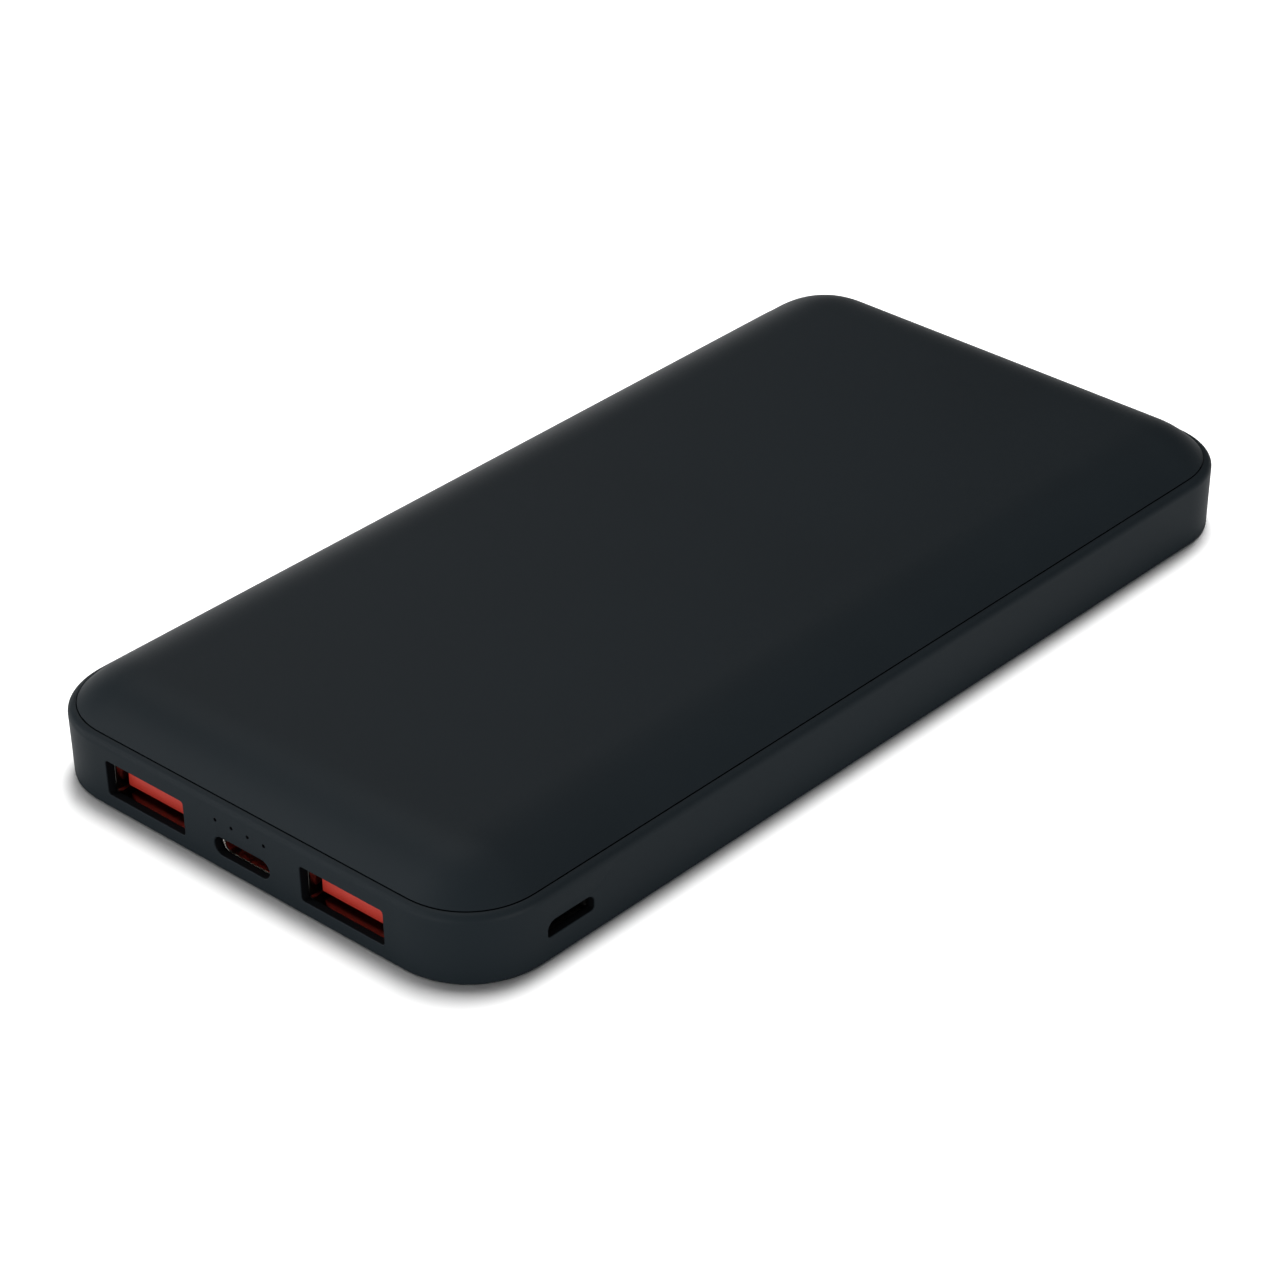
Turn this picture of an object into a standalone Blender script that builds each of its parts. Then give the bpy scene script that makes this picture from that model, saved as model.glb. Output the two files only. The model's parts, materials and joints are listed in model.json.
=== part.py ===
"""Slim power bank: two-piece snap-together case, one lithium pouch cell, one
circuit board carrying two USB-A sockets, a USB-C socket, a micro-USB socket,
four charge lights and a side-push switch worked by a key in the case wall.

Frame: +Z up, origin at the centre of the underside. The port end faces -Y,
the micro-USB socket is in the +X wall, the power key in the -X wall.
All dimensions below are millimetres; meshes are written in metres.
"""
import math

import bpy
import bmesh
from mathutils import Vector

MM = 0.001

# ---------------------------------------------------------------- case
CASE_W = 71.6            # overall width, X
CASE_L = 141.6           # overall length, Y
CASE_H = 13.4            # overall height at the crown
CORNER_R = 11.1          # plan corner radius
CORNER_P = 2.12          # superellipse exponent of the plan corners
CORNER_N = 8             # segments in a plan corner
DRAFT = 0.20             # the wall leans in by this much at the foot
FOOT_R = 0.30            # radius of the bottom edge
WALL = 2.0               # lower shell wall
FLOOR = 1.2              # lower shell floor
LIP_Z0 = 8.15            # where the wall starts to roll over into the rim
LIP_Z1 = 9.15            # top of the rim
LIP_IN = 0.98            # how far the rounded rim rolls in
RIM_IN = 1.05            # inner face of the rim
LEDGE_Z = 7.75           # ledge that carries the cover
COVER_IN = 1.30          # outer face of the cover's skirt
COVER_FOOT_Z = 7.90      # bottom of the cover's skirt
COVER_T = 1.4            # cover wall at the crown
SKIRT_T = 1.5            # cover skirt wall
DOME_W = 10.2            # width of the curved border of the cover
DOME_P = 2.62            # exponent of the curved border
DOME_IN = 1.03           # inset at which the border curve starts
HOOK_L, HOOK_Z0, HOOK_Z1 = 6.0, 5.2, 8.4

# ---------------------------------------------------------------- ports
PORT_X = -0.45                       # centre of the port row
INNER_Y = -CASE_L / 2 + WALL         # inner face of the port wall
USB_A_X = (PORT_X - 16.0, PORT_X + 16.0)
USB_A_Z = 4.25
USB_A_OPEN = (13.0, 4.7, 0.40)       # cut-out width, height, corner radius
USB_A_OUT = (13.1, 5.7, 0.7)         # receptacle shell outside
USB_A_WALL = 0.30
USB_A_Y0, USB_A_Y1 = -69.43, -54.65   # shell butts against the wall's web
USB_A_TONGUE_W, USB_A_TONGUE_T = 11.1, 1.84
USB_A_TONGUE_Z = 3.35
USB_A_TONGUE_Y0 = -68.37
USB_C_X, USB_C_Z = -0.5, 3.25
USB_C_OPEN = (9.0, 2.5)
USB_C_OUT = (8.94, 3.2)
USB_C_WALL = 0.30
USB_C_Y0, USB_C_Y1 = -69.5, -62.5
USB_C_TONGUE_Y0 = -68.95
MICRO_Y, MICRO_Z = -55.25, 4.12
MICRO_OPEN = (7.4, 2.1)
MICRO_X0, MICRO_X1 = 29.3, 34.45
LED_Z = 6.67
LED_PITCH = 2.633
LED_X = [-0.55 + LED_PITCH * (k - 1.5) for k in range(4)]
PINHOLE_R = 0.24

# ---------------------------------------------------------------- board
PCB_X, PCB_Y0, PCB_Y1 = 33.3, -68.2, -47.2
PCB_Z0, PCB_Z1 = 4.95, 5.95
BOSSES = [(-7.4, -60.4), (6.5, -60.4), (-27.6, -49.6), (26.4, -49.6)]
BOSS_R, PILOT_R = 1.8, 0.75

# ---------------------------------------------------------------- power key
KEY_Y, KEY_Z = -55.0, 4.0
KEY_CAP = (8.3, 2.5)
KEY_SLOT = (8.8, 3.0)
KEY_FLANGE = (10.0, 3.8)

# ---------------------------------------------------------------- cell
CELL_X, CELL_Y0, CELL_Y1 = 30.5, -42.6, 64.5
CELL_Z0, CELL_Z1 = 1.75, 10.15


# ================================================================ helpers
def start():
    for ob in list(bpy.data.objects):
        bpy.data.objects.remove(ob, do_unlink=True)


_MATS = {}


def material(name, rgb, rough, metal=0.0, alpha=1.0):
    if name not in _MATS:
        m = bpy.data.materials.new(name)
        m.use_nodes = True
        b = m.node_tree.nodes["Principled BSDF"]
        b.inputs["Base Color"].default_value = (*rgb, 1.0)
        b.inputs["Roughness"].default_value = rough
        b.inputs["Metallic"].default_value = metal
        b.inputs["Alpha"].default_value = alpha
        _MATS[name] = m
    return _MATS[name]


def add(name, bm, mat=None, origin=(0, 0, 0), smooth=35.0, helper=False):
    """Writes a bmesh given in mm as an object; origin is the object's own."""
    o = Vector(origin)
    for v in bm.verts:
        v.co = (v.co - o) * MM
    bmesh.ops.recalc_face_normals(bm, faces=bm.faces)
    me = bpy.data.meshes.new(name)
    bm.to_mesh(me)
    bm.free()
    ob = bpy.data.objects.new(name, me)
    ob.location = o * MM
    bpy.context.scene.collection.objects.link(ob)
    if mat is not None:
        me.materials.append(mat)
    if helper:
        ob.hide_render = True
        ob.display_type = 'WIRE'
    elif smooth:
        me.shade_smooth()
        me.set_sharp_from_angle(angle=math.radians(smooth))
    return ob


def modifier(ob, tool, how):
    m = ob.modifiers.new(how.lower(), 'BOOLEAN')
    m.operation = how
    m.solver = 'EXACT'
    m.object = tool
    return m


def corner_pts(r, n, p=2.0):
    """One corner from +X to +Y about its centre."""
    out = []
    for k in range(n + 1):
        t = math.pi / 2 * k / n
        c, s = max(math.cos(t), 0.0), max(math.sin(t), 0.0)
        out.append((r * c ** (2.0 / p), r * s ** (2.0 / p)))
    return out


def rounded(w, h, r, n=4, p=2.0, cx=0.0, cy=0.0):
    """Rounded rectangle outline, anticlockwise."""
    r = min(r, w / 2 - 1e-4, h / 2 - 1e-4)
    q = corner_pts(r, n, p)
    a, b = w / 2 - r, h / 2 - r
    pts = [(a + x, b + y) for x, y in q]
    pts += [(-a - x, b + y) for x, y in reversed(q)]
    pts += [(-a - x, -b - y) for x, y in q]
    pts += [(a + x, -b - y) for x, y in reversed(q)]
    return [(x + cx, y + cy) for x, y in pts]


def circle(r, n, cx=0.0, cy=0.0):
    return [(cx + r * math.cos(2 * math.pi * k / n),
             cy + r * math.sin(2 * math.pi * k / n)) for k in range(n)]


def rect(x0, x1, y0, y1):
    return [(x0, y0), (x1, y0), (x1, y1), (x0, y1)]


PLACE = {
    'X': lambda u, v, d: (d, u, v),      # outline in Y, Z
    'Y': lambda u, v, d: (u, d, v),      # outline in X, Z
    'Z': lambda u, v, d: (u, v, d),      # outline in X, Y
}


def loft(rings, axis='Z', bm=None, caps=True, closed=False):
    """Skins a list of (outline, position) with equal point counts."""
    bm = bm or bmesh.new()
    loops = [[bm.verts.new(PLACE[axis](u, v, d)) for u, v in pts]
             for pts, d in rings]
    n = len(loops[0])
    pairs = list(zip(loops, loops[1:]))
    if closed:
        pairs.append((loops[-1], loops[0]))
    for a, b in pairs:
        for i in range(n):
            j = (i + 1) % n
            bm.faces.new((a[i], a[j], b[j], b[i]))
    if caps and not closed:
        bm.faces.new(list(reversed(loops[0])))
        bm.faces.new(loops[-1])
    return bm


def prism(pts, axis, d0, d1, bm=None):
    return loft([(pts, d0), (pts, d1)], axis, bm)


def block(x0, x1, y0, y1, z0, z1, bm=None):
    return prism(rect(x0, x1, y0, y1), 'Z', z0, z1, bm)


def soft_block(x0, x1, y0, y1, z0, z1, r=0.2, n=2, edge=0.0, bm=None):
    """A block with rounded vertical edges and bevelled top and bottom."""
    w, l, cx, cy = x1 - x0, y1 - y0, (x0 + x1) / 2, (y0 + y1) / 2
    o = lambda i: rounded(w - 2 * i, l - 2 * i, max(r - i, 0.02), n, 2.0, cx, cy)
    if edge <= 0:
        return loft([(o(0), z0), (o(0), z1)], 'Z', bm)
    return loft([(o(edge), z0), (o(0), z0 + edge), (o(0), z1 - edge),
                 (o(edge), z1)], 'Z', bm)


def tube(outer, inner, axis, d0, d1, bm=None):
    """Open-ended tube between two outlines of equal point count."""
    return loft([(outer, d0), (outer, d1), (inner, d1), (inner, d0)], axis, bm,
                closed=True)


def plan(inset):
    """Case outline at an inset from the widest line."""
    return rounded(CASE_W - 2 * inset, CASE_L - 2 * inset,
                   max(CORNER_R - inset, 0.8), CORNER_N, CORNER_P)


def strip(path, width, thick, axis_x, bm=None):
    """Flat metal strip: a path in (y, z) given thickness and an X width."""
    left, right = [], []
    m = len(path)
    for i, (y, z) in enumerate(path):
        a = path[max(i - 1, 0)]
        b = path[min(i + 1, m - 1)]
        t = Vector((b[0] - a[0], b[1] - a[1])).normalized()
        nrm = Vector((-t.y, t.x))
        s = 1.0
        if 0 < i < m - 1:
            t0 = Vector((y - a[0], z - a[1])).normalized()
            s = 1.0 / max(nrm.dot(Vector((-t0.y, t0.x))), 0.5)
        left.append((y + nrm.x * thick / 2 * s, z + nrm.y * thick / 2 * s))
        right.append((y - nrm.x * thick / 2 * s, z - nrm.y * thick / 2 * s))
    pts = left + right[::-1]
    return prism(pts, 'X', axis_x - width / 2, axis_x + width / 2, bm)


# ================================================================ materials
start()
BLACK = material('soft_touch_black', (0.016, 0.019, 0.022), 0.55)
KEYBLK = material('key_black', (0.013, 0.015, 0.018), 0.50)
STEEL = material('nickel_plated_steel', (0.62, 0.60, 0.57), 0.28, 1.0)
ORANGE = material('orange_insulator', (0.80, 0.09, 0.03), 0.45)
DARKINS = material('black_insulator', (0.02, 0.02, 0.022), 0.5)
GOLD = material('gold_contact', (0.85, 0.60, 0.25), 0.25, 1.0)
FR4 = material('board_green', (0.015, 0.09, 0.045), 0.4)
POUCH = material('aluminium_pouch', (0.66, 0.67, 0.69), 0.35, 0.9)
ALTAB = material('aluminium_tab', (0.75, 0.76, 0.78), 0.35, 1.0)
NITAB = material('nickel_tab', (0.62, 0.60, 0.56), 0.35, 1.0)
KAPTON = material('amber_tape', (0.55, 0.26, 0.03), 0.3)
FOAM = material('grey_foam', (0.09, 0.09, 0.095), 0.9)
ADHES = material('white_adhesive', (0.75, 0.75, 0.72), 0.7)
FERRITE = material('ferrite_grey', (0.07, 0.07, 0.075), 0.6)
ICBLK = material('chip_black', (0.014, 0.014, 0.015), 0.45)
TAN = material('ceramic_tan', (0.42, 0.28, 0.16), 0.5)
CLEAR = material('clear_guide', (0.85, 0.87, 0.88), 0.15)
LEDWHT = material('led_white', (0.85, 0.83, 0.70), 0.3)
WIREY = material('yellow_wire', (0.75, 0.55, 0.04), 0.45)
SCREW = material('screw_steel', (0.45, 0.45, 0.47), 0.3, 1.0)


# ================================================================ lower shell
def wall_inset(z):
    return DRAFT * (LIP_Z0 - z) / (LIP_Z0 - FOOT_R)


rings = [(plan(DRAFT + FOOT_R), 0.0),
         (plan(DRAFT + FOOT_R * (1 - math.sin(math.pi / 4))),
          FOOT_R * (1 - math.cos(math.pi / 4))),
         (plan(DRAFT), FOOT_R)]
for k in range(0, 5):
    t = math.pi / 2 * k / 4
    rings.append((plan(LIP_IN * (1 - math.cos(t))),
                  LIP_Z0 + (LIP_Z1 - LIP_Z0) * math.sin(t)))
rings += [(plan(RIM_IN), LIP_Z1), (plan(RIM_IN), LEDGE_Z),
          (plan(WALL), LEDGE_Z), (plan(WALL), FLOOR + 0.15),
          (plan(WALL + 0.15), FLOOR)]
shell = add('bottom_shell', loft(rings), BLACK)

# bosses for the board screws and ribs that box in the cell
bm = bmesh.new()
for bx, by in BOSSES:
    prism(circle(BOSS_R, 16, bx, by), 'Z', FLOOR - 0.4, PCB_Z0 - 0.05, bm)
for s in (-1, 1):
    block(s * 31.7 - 0.5, s * 31.7 + 0.5, -38.0, 60.0, FLOOR - 0.4, 4.2, bm)
block(-24.0, 24.0, -45.7, -44.7, FLOOR - 0.4, 3.4, bm)
for x in (-24.0, 24.0):
    block(x - 0.5, x + 0.5, 65.2, 67.6, FLOOR - 0.4, 5.0, bm)
ribs = add('_shell_ribs', bm, helper=True)
modifier(shell, ribs, 'UNION')

cut = bmesh.new()
yo, yi = -CASE_L / 2 - 1.0, INNER_Y + 0.4
for x in USB_A_X:
    w, h, r = USB_A_OPEN
    prism(rounded(w, h, r, 4, 2.0, x, USB_A_Z), 'Y', yo, yi, cut)
w, h = USB_C_OPEN
prism(rounded(w, h, h / 2, 6, 2.0, USB_C_X, USB_C_Z), 'Y', yo, -69.2, cut)
for x in LED_X:
    prism(circle(PINHOLE_R, 8, x, LED_Z), 'Y', yo, -69.6, cut)
w, h = MICRO_OPEN
mo = [(-w / 2, h / 2 - 0.95), (-w / 2 + 0.22, h / 2 - 0.45),
      (-w / 2 + 0.55, h / 2 - 0.13), (-w / 2 + 1.0, h / 2),
      (w / 2 - 1.0, h / 2), (w / 2 - 0.55, h / 2 - 0.13),
      (w / 2 - 0.22, h / 2 - 0.45), (w / 2, h / 2 - 0.95),
      (w / 2, -h / 2 + 0.4), (w / 2 - 0.12, -h / 2 + 0.12),
      (w / 2 - 0.4, -h / 2), (-w / 2 + 0.4, -h / 2),
      (-w / 2 + 0.12, -h / 2 + 0.12), (-w / 2, -h / 2 + 0.4)]
prism([(MICRO_Y + u, MICRO_Z + v) for u, v in mo], 'X', 34.2,
      CASE_W / 2 + 1.0, cut)
w, h = KEY_SLOT
prism(rounded(w, h, h / 2, 6, 2.0, KEY_Y, KEY_Z), 'X', -CASE_W / 2 - 1.0,
      -CASE_W / 2 + WALL + 0.4, cut)
for bx, by in BOSSES:
    prism(circle(PILOT_R, 12, bx, by), 'Z', FLOOR + 0.2, PCB_Z0 + 1.0, cut)
outs = add('_shell_openings', cut, helper=True)
modifier(shell, outs, 'DIFFERENCE')

# pockets cut from the inside: sockets, light guide and snap hooks
pk = bmesh.new()
for x in USB_A_X:
    prism(rounded(13.4, 5.96, 0.85, 3, 2.0, x, USB_A_Z), 'Y', USB_A_Y0 - 0.15,
          INNER_Y + 0.4, pk)
prism(rounded(9.7, 4.0, 1.9, 6, 2.0, USB_C_X, USB_C_Z), 'Y', USB_C_Y0 - 0.15,
      INNER_Y + 0.4, pk)
for x in LED_X:
    block(x - 0.65, x + 0.65, -70.0, INNER_Y + 0.4, LED_Z - 0.65,
          LED_Z + 0.65, pk)
block(33.4, MICRO_X1 + 0.15, MICRO_Y - 4.5, MICRO_Y + 4.5, 2.35, 5.9, pk)
HOOKS = [(s, y) for s in (-1, 1) for y in (-34.0, 2.0, 38.0)]
for s, y in HOOKS:
    xa, xb = s * (CASE_W / 2 - WALL - 0.3), s * (CASE_W / 2 - 1.35)
    block(min(xa, xb), max(xa, xb), y - HOOK_L / 2 - 0.4, y + HOOK_L / 2 + 0.4,
          HOOK_Z0 - 0.1, 6.6, pk)
pocket = add('_shell_pockets', pk, helper=True)
modifier(shell, pocket, 'DIFFERENCE')


# ================================================================ top cover
def dome(inset, top, start_in, base=LIP_Z1):
    u = min(max((inset - start_in) / DOME_W, 0.0), 1.0)
    return base + (top - base) * (1 - (1 - u) ** DOME_P)


rings = []
for k in range(10, 0, -1):
    i = COVER_IN + (DOME_IN + DOME_W - COVER_IN) * (k / 10.0) ** 1.25
    rings.append((plan(i), dome(i, CASE_H, DOME_IN)))
rings.append((plan(COVER_IN), dome(COVER_IN, CASE_H, DOME_IN)))
rings.append((plan(COVER_IN), COVER_FOOT_Z))
INS = COVER_IN + SKIRT_T
rings.append((plan(INS), COVER_FOOT_Z))
for k in range(0, 8):
    i = INS + DOME_W * (k / 7.0) ** 1.2
    rings.append((plan(i), dome(i, CASE_H - COVER_T, INS)))
cover = add('top_cover', loft(rings), BLACK)
bm = bmesh.new()
for s, y in HOOKS:
    xo = CASE_W / 2 - WALL - 0.25          # hook's outer face
    prof = [(xo - 0.9, HOOK_Z1), (xo - 0.9, HOOK_Z0), (xo - 0.2, HOOK_Z0),
            (xo + 0.42, HOOK_Z0 + 0.6), (xo + 0.42, HOOK_Z0 + 0.95),
            (xo, HOOK_Z0 + 1.2), (xo, HOOK_Z1)]
    if s < 0:
        prof = [(-x, z) for x, z in prof]
    prism(prof, 'Y', y - HOOK_L / 2, y + HOOK_L / 2, bm)
hooks = add('_cover_hooks', bm, helper=True)
modifier(cover, hooks, 'UNION')


# ================================================================ USB-A sockets
def usb_a(i, cx):
    tag = 'usb_a_%d' % i
    w, h, r = USB_A_OUT
    t = USB_A_WALL
    sh = add(tag + '_shell',
             tube(rounded(w, h, r, 3, 2.0, cx, USB_A_Z),
                  rounded(w - 2 * t, h - 2 * t, r - t, 3, 2.0, cx, USB_A_Z),
                  'Y', USB_A_Y0, USB_A_Y1), STEEL)
    # solder ears on the board's upper face
    bm = bmesh.new()
    for s in (-1, 1):
        for y in (-63.4, -57.4):
            xa, xb = cx + s * (w / 2 - 0.15), cx + s * (w / 2 + 1.4)
            block(min(xa, xb), max(xa, xb), y, y + 1.8, PCB_Z1 + 0.05,
                  PCB_Z1 + 0.35, bm)
    ears = add('_%s_ears' % tag, bm, helper=True)
    modifier(sh, ears, 'UNION')
    # spring windows in floor and roof
    bm = bmesh.new()
    for dx in (-3.0, 3.0):
        for z in (USB_A_Z - h / 2, USB_A_Z + h / 2):
            block(cx + dx - 1.0, cx + dx + 1.0, -66.2, -61.8, z - 0.5, z + 0.5,
                  bm)
    wins = add('_%s_windows' % tag, bm, helper=True)
    modifier(sh, wins, 'DIFFERENCE')

    # moulded insulator: tongue in the lower half, solid block at the back
    tw, tt, tz = USB_A_TONGUE_W, USB_A_TONGUE_T, USB_A_TONGUE_Z
    bw, b0, b1 = 12.2, USB_A_Z - 2.4, USB_A_Z + 2.4
    o = lambda a, b, z: rounded(a, b, 0.25, 2, 2.0, cx, z)
    body = add(tag + '_tongue',
               loft([(o(tw - 0.6, tt - 0.5, tz), USB_A_TONGUE_Y0),
                     (o(tw, tt, tz), USB_A_TONGUE_Y0 + 0.35),
                     (o(tw, tt, tz), -58.6),
                     (o(bw, b1 - b0, USB_A_Z), -58.6),
                     (o(bw, b1 - b0, USB_A_Z), -54.8)], 'Y'), ORANGE)
    bm = bmesh.new()
    for k in range(4):
        x = cx + (-3.5, -1.0, 1.0, 3.5)[k]
        block(x - 0.65, x + 0.65, -58.9, -54.3, tz + tt / 2 + 0.005, 4.95, bm)
    slots = add('_%s_slots' % tag, bm, helper=True)
    modifier(body, slots, 'DIFFERENCE')

    top = tz + tt / 2 + 0.06
    for k, dx in enumerate((-3.5, -1.0, 1.0, 3.5)):
        y0 = -67.3 if k in (0, 3) else -66.3
        path = [(y0, top + 0.12), (y0 + 0.8, top + 0.22), (y0 + 2.2, top + 0.12),
                (-54.45, top + 0.12), (-54.15, 4.76), (-52.9, 4.76)]
        add('%s_contact_%d' % (tag, k + 1), strip(path, 0.9, 0.2, cx + dx),
            GOLD, smooth=0)


for i, x in enumerate(USB_A_X):
    usb_a(i + 1, x)

# ================================================================ USB-C socket
w, h = USB_C_OUT
t = USB_C_WALL
sh = add('usb_c_shell',
         tube(rounded(w, h, h / 2, 6, 2.0, USB_C_X, USB_C_Z),
              rounded(w - 2 * t, h - 2 * t, h / 2 - t, 6, 2.0, USB_C_X, USB_C_Z),
              'Y', USB_C_Y0, USB_C_Y1), STEEL)
bm = bmesh.new()
for s in (-1, 1):
    for y in (-67.4, -64.2):
        xa, xb = USB_C_X + s * (w / 2 - 0.25), USB_C_X + s * (w / 2 + 0.55)
        block(min(xa, xb), max(xa, xb), y, y + 0.9, 2.9, PCB_Z0 - 0.07, bm)
ears = add('_usb_c_ears', bm, helper=True)
modifier(sh, ears, 'UNION')
o = lambda a, b, r: rounded(a, b, r, 6, 2.0, USB_C_X, USB_C_Z)
add('usb_c_tongue',
    loft([(o(6.3, 0.45, 0.2), USB_C_TONGUE_Y0),
          (o(6.69, 0.7, 0.3), USB_C_TONGUE_Y0 + 0.25),
          (o(6.69, 0.7, 0.3), -65.6), (o(7.0, 1.2, 0.5), -65.6),
          (o(7.0, 1.2, 0.5), -64.6), (o(8.1, 2.36, 1.1), -64.6),
          (o(8.1, 2.36, 1.1), -62.6)], 'Y'), ORANGE)
# ================================================================ micro-USB
MW, MH = 7.5, 2.5


def micro_outline(w, h, c):
    """Flat floor with small corners, upper corners cut at a slant by c."""
    p = [(-w / 2, h / 2 - c), (-w / 2 + c, h / 2),
         (w / 2 - c, h / 2), (w / 2, h / 2 - c),
         (w / 2, -h / 2 + 0.35), (w / 2 - 0.35, -h / 2),
         (-w / 2 + 0.35, -h / 2), (-w / 2, -h / 2 + 0.35)]
    return [(MICRO_Y + u, MICRO_Z + v) for u, v in p]


t = 0.3
fl = 0.15
add('micro_usb_shell',
    loft([(micro_outline(MW, MH, 1.0), MICRO_X0),
          (micro_outline(MW, MH, 1.0), MICRO_X1 - 0.7),
          (micro_outline(MW + 2 * fl, MH + 2 * fl, 1.1), MICRO_X1 - 0.15),
          (micro_outline(MW + 2 * fl, MH + 2 * fl, 1.1), MICRO_X1),
          (micro_outline(MW + 2 * fl - 0.45, MH + 2 * fl - 0.45, 0.95), MICRO_X1),
          (micro_outline(MW - 2 * t, MH - 2 * t, 0.85), MICRO_X1 - 0.75),
          (micro_outline(MW - 2 * t, MH - 2 * t, 0.85), MICRO_X0)],
         'X', closed=True), STEEL)
tongue_z = MICRO_Z - 0.18
add('micro_usb_tongue',
    loft([(rounded(4.6, 0.35, 0.1, 2, 2.0, MICRO_Y, tongue_z), MICRO_X1 - 0.75),
          (rounded(5.0, 0.6, 0.15, 2, 2.0, MICRO_Y, tongue_z), MICRO_X1 - 1.0),
          (rounded(5.0, 0.6, 0.15, 2, 2.0, MICRO_Y, tongue_z), 31.0),
          (rounded(5.6, 1.5, 0.15, 2, 2.0, MICRO_Y, MICRO_Z - 0.12), 31.0),
          (rounded(5.6, 1.5, 0.15, 2, 2.0, MICRO_Y, MICRO_Z - 0.12),
           MICRO_X0 + 0.1)], 'X'), DARKINS)

# ================================================================ board
PCB_R = 8.9              # the board's front corners follow the case
edge = []
for k in range(9):
    a = math.pi / 2 * k / 8
    edge.append((PCB_X - PCB_R * (1 - math.sin(a)),
                 PCB_Y0 + PCB_R * (1 - math.cos(a))))
edge += [(PCB_X, PCB_Y1 - 0.8), (PCB_X - 0.8, PCB_Y1)]
edge += [(-x, y) for x, y in reversed(edge)]
pcb = add('main_board', prism(edge, 'Z', PCB_Z0, PCB_Z1), FR4, smooth=0)
bm = bmesh.new()
for x in USB_A_X:
    block(x - 6.85, x + 6.85, PCB_Y0 - 1, -54.3, PCB_Z0 - 1, PCB_Z1 + 1, bm)
block(28.9, PCB_X + 1, MICRO_Y - 4.3, MICRO_Y + 4.3, PCB_Z0 - 1, PCB_Z1 + 1, bm)
block(-PCB_X - 1, -32.2, KEY_Y - 5.4, KEY_Y + 5.4, PCB_Z0 - 1, PCB_Z1 + 1, bm)
for bx, by in BOSSES:
    prism(circle(1.05, 12, bx, by), 'Z', PCB_Z0 - 1, PCB_Z1 + 1, bm)
notch = add('_board_notches', bm, helper=True)
modifier(pcb, notch, 'DIFFERENCE')


# board screws: pan head, plain shank standing for the thread
def screw(name, x, y):
    z0, z1 = FLOOR + 0.6, PCB_Z1 + 0.05
    rr = [(0.35, z0), (0.62, z0 + 0.5), (0.62, z1), (1.55, z1),
          (1.55, z1 + 0.5), (1.25, z1 + 0.85), (0.62, z1 + 0.98),
          (0.5, z1 + 0.5)]
    add(name, loft([(circle(r, 12, x, y), z) for r, z in rr]), SCREW,
        origin=(x, y, 0))


for k, (bx, by) in enumerate(BOSSES):
    screw('board_screw_%d' % (k + 1), bx, by)

# ---------------------------------------------------------------- lights
for k, x in enumerate(LED_X):
    add('charge_light_%d' % (k + 1),
        soft_block(x - 0.8, x + 0.8, -67.85, -66.75, PCB_Z1 + 0.05,
                   PCB_Z1 + 0.95, 0.15, 2), LEDWHT, smooth=0)
bm = block(LED_X[0] - 1.0, LED_X[3] + 1.0, -68.7, -68.05, LED_Z - 0.5,
           LED_Z + 0.5)
guide = add('light_guide', bm, CLEAR, smooth=0)
bm = bmesh.new()
for x in LED_X:
    block(x - 0.42, x + 0.42, -69.9, -68.4, LED_Z - 0.42, LED_Z + 0.42, bm)
fing = add('_guide_fingers', bm, helper=True)
modifier(guide, fing, 'UNION')

# ---------------------------------------------------------------- components
U = PCB_Z0 - 0.05        # underside parts hang from here
T = PCB_Z1 + 0.05        # upper-side parts stand here
ind = add('boost_inductor', soft_block(-3.9, 3.3, -58.6, -51.4, U - 3.0, U,
                                       0.9, 3, 0.15), FERRITE)
add('power_ic', soft_block(-19.4, -14.4, -52.4, -47.4, U - 0.9, U, 0.1, 2),
    ICBLK, smooth=0)
add('protection_ic', soft_block(20.4, 23.4, -52.6, -49.8, U - 1.1, U, 0.1, 2),
    ICBLK, smooth=0)
add('output_mosfet_1', soft_block(10.0, 13.3, -52.4, -49.1, U - 0.8, U, 0.1, 2),
    ICBLK, smooth=0)
add('output_mosfet_2', soft_block(15.0, 18.3, -52.4, -49.1, U - 0.8, U, 0.1, 2),
    ICBLK, smooth=0)
for k, (x, y) in enumerate(((-10.6, -51.6), (-7.0, -51.6), (6.0, -56.4),
                            (6.0, -52.6))):
    add('ceramic_capacitor_%d' % (k + 1),
        soft_block(x - 1.25, x + 1.25, y - 1.6, y + 1.6, U - 1.6, U, 0.2, 2,
                   0.1), TAN, smooth=0)
add('sense_resistor', soft_block(24.6, 27.8, -56.0, -54.4, U - 0.6, U, 0.1, 2),
    ICBLK, smooth=0)

# ================================================================ power key
cw, ch = KEY_CAP
fw, fh = KEY_FLANGE
o = lambda a, b: rounded(a, b, b / 2, 6, 2.0, KEY_Y, KEY_Z)
add('power_key',
    loft([(o(cw - 0.5, ch - 0.5), -35.72), (o(cw - 0.15, ch - 0.15), -35.66),
          (o(cw, ch), -35.5), (o(cw, ch), -33.6), (o(fw, fh), -33.6),
          (o(fw, fh), -32.95)], 'X'), KEYBLK, origin=(-34.3, KEY_Y, KEY_Z))

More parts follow.
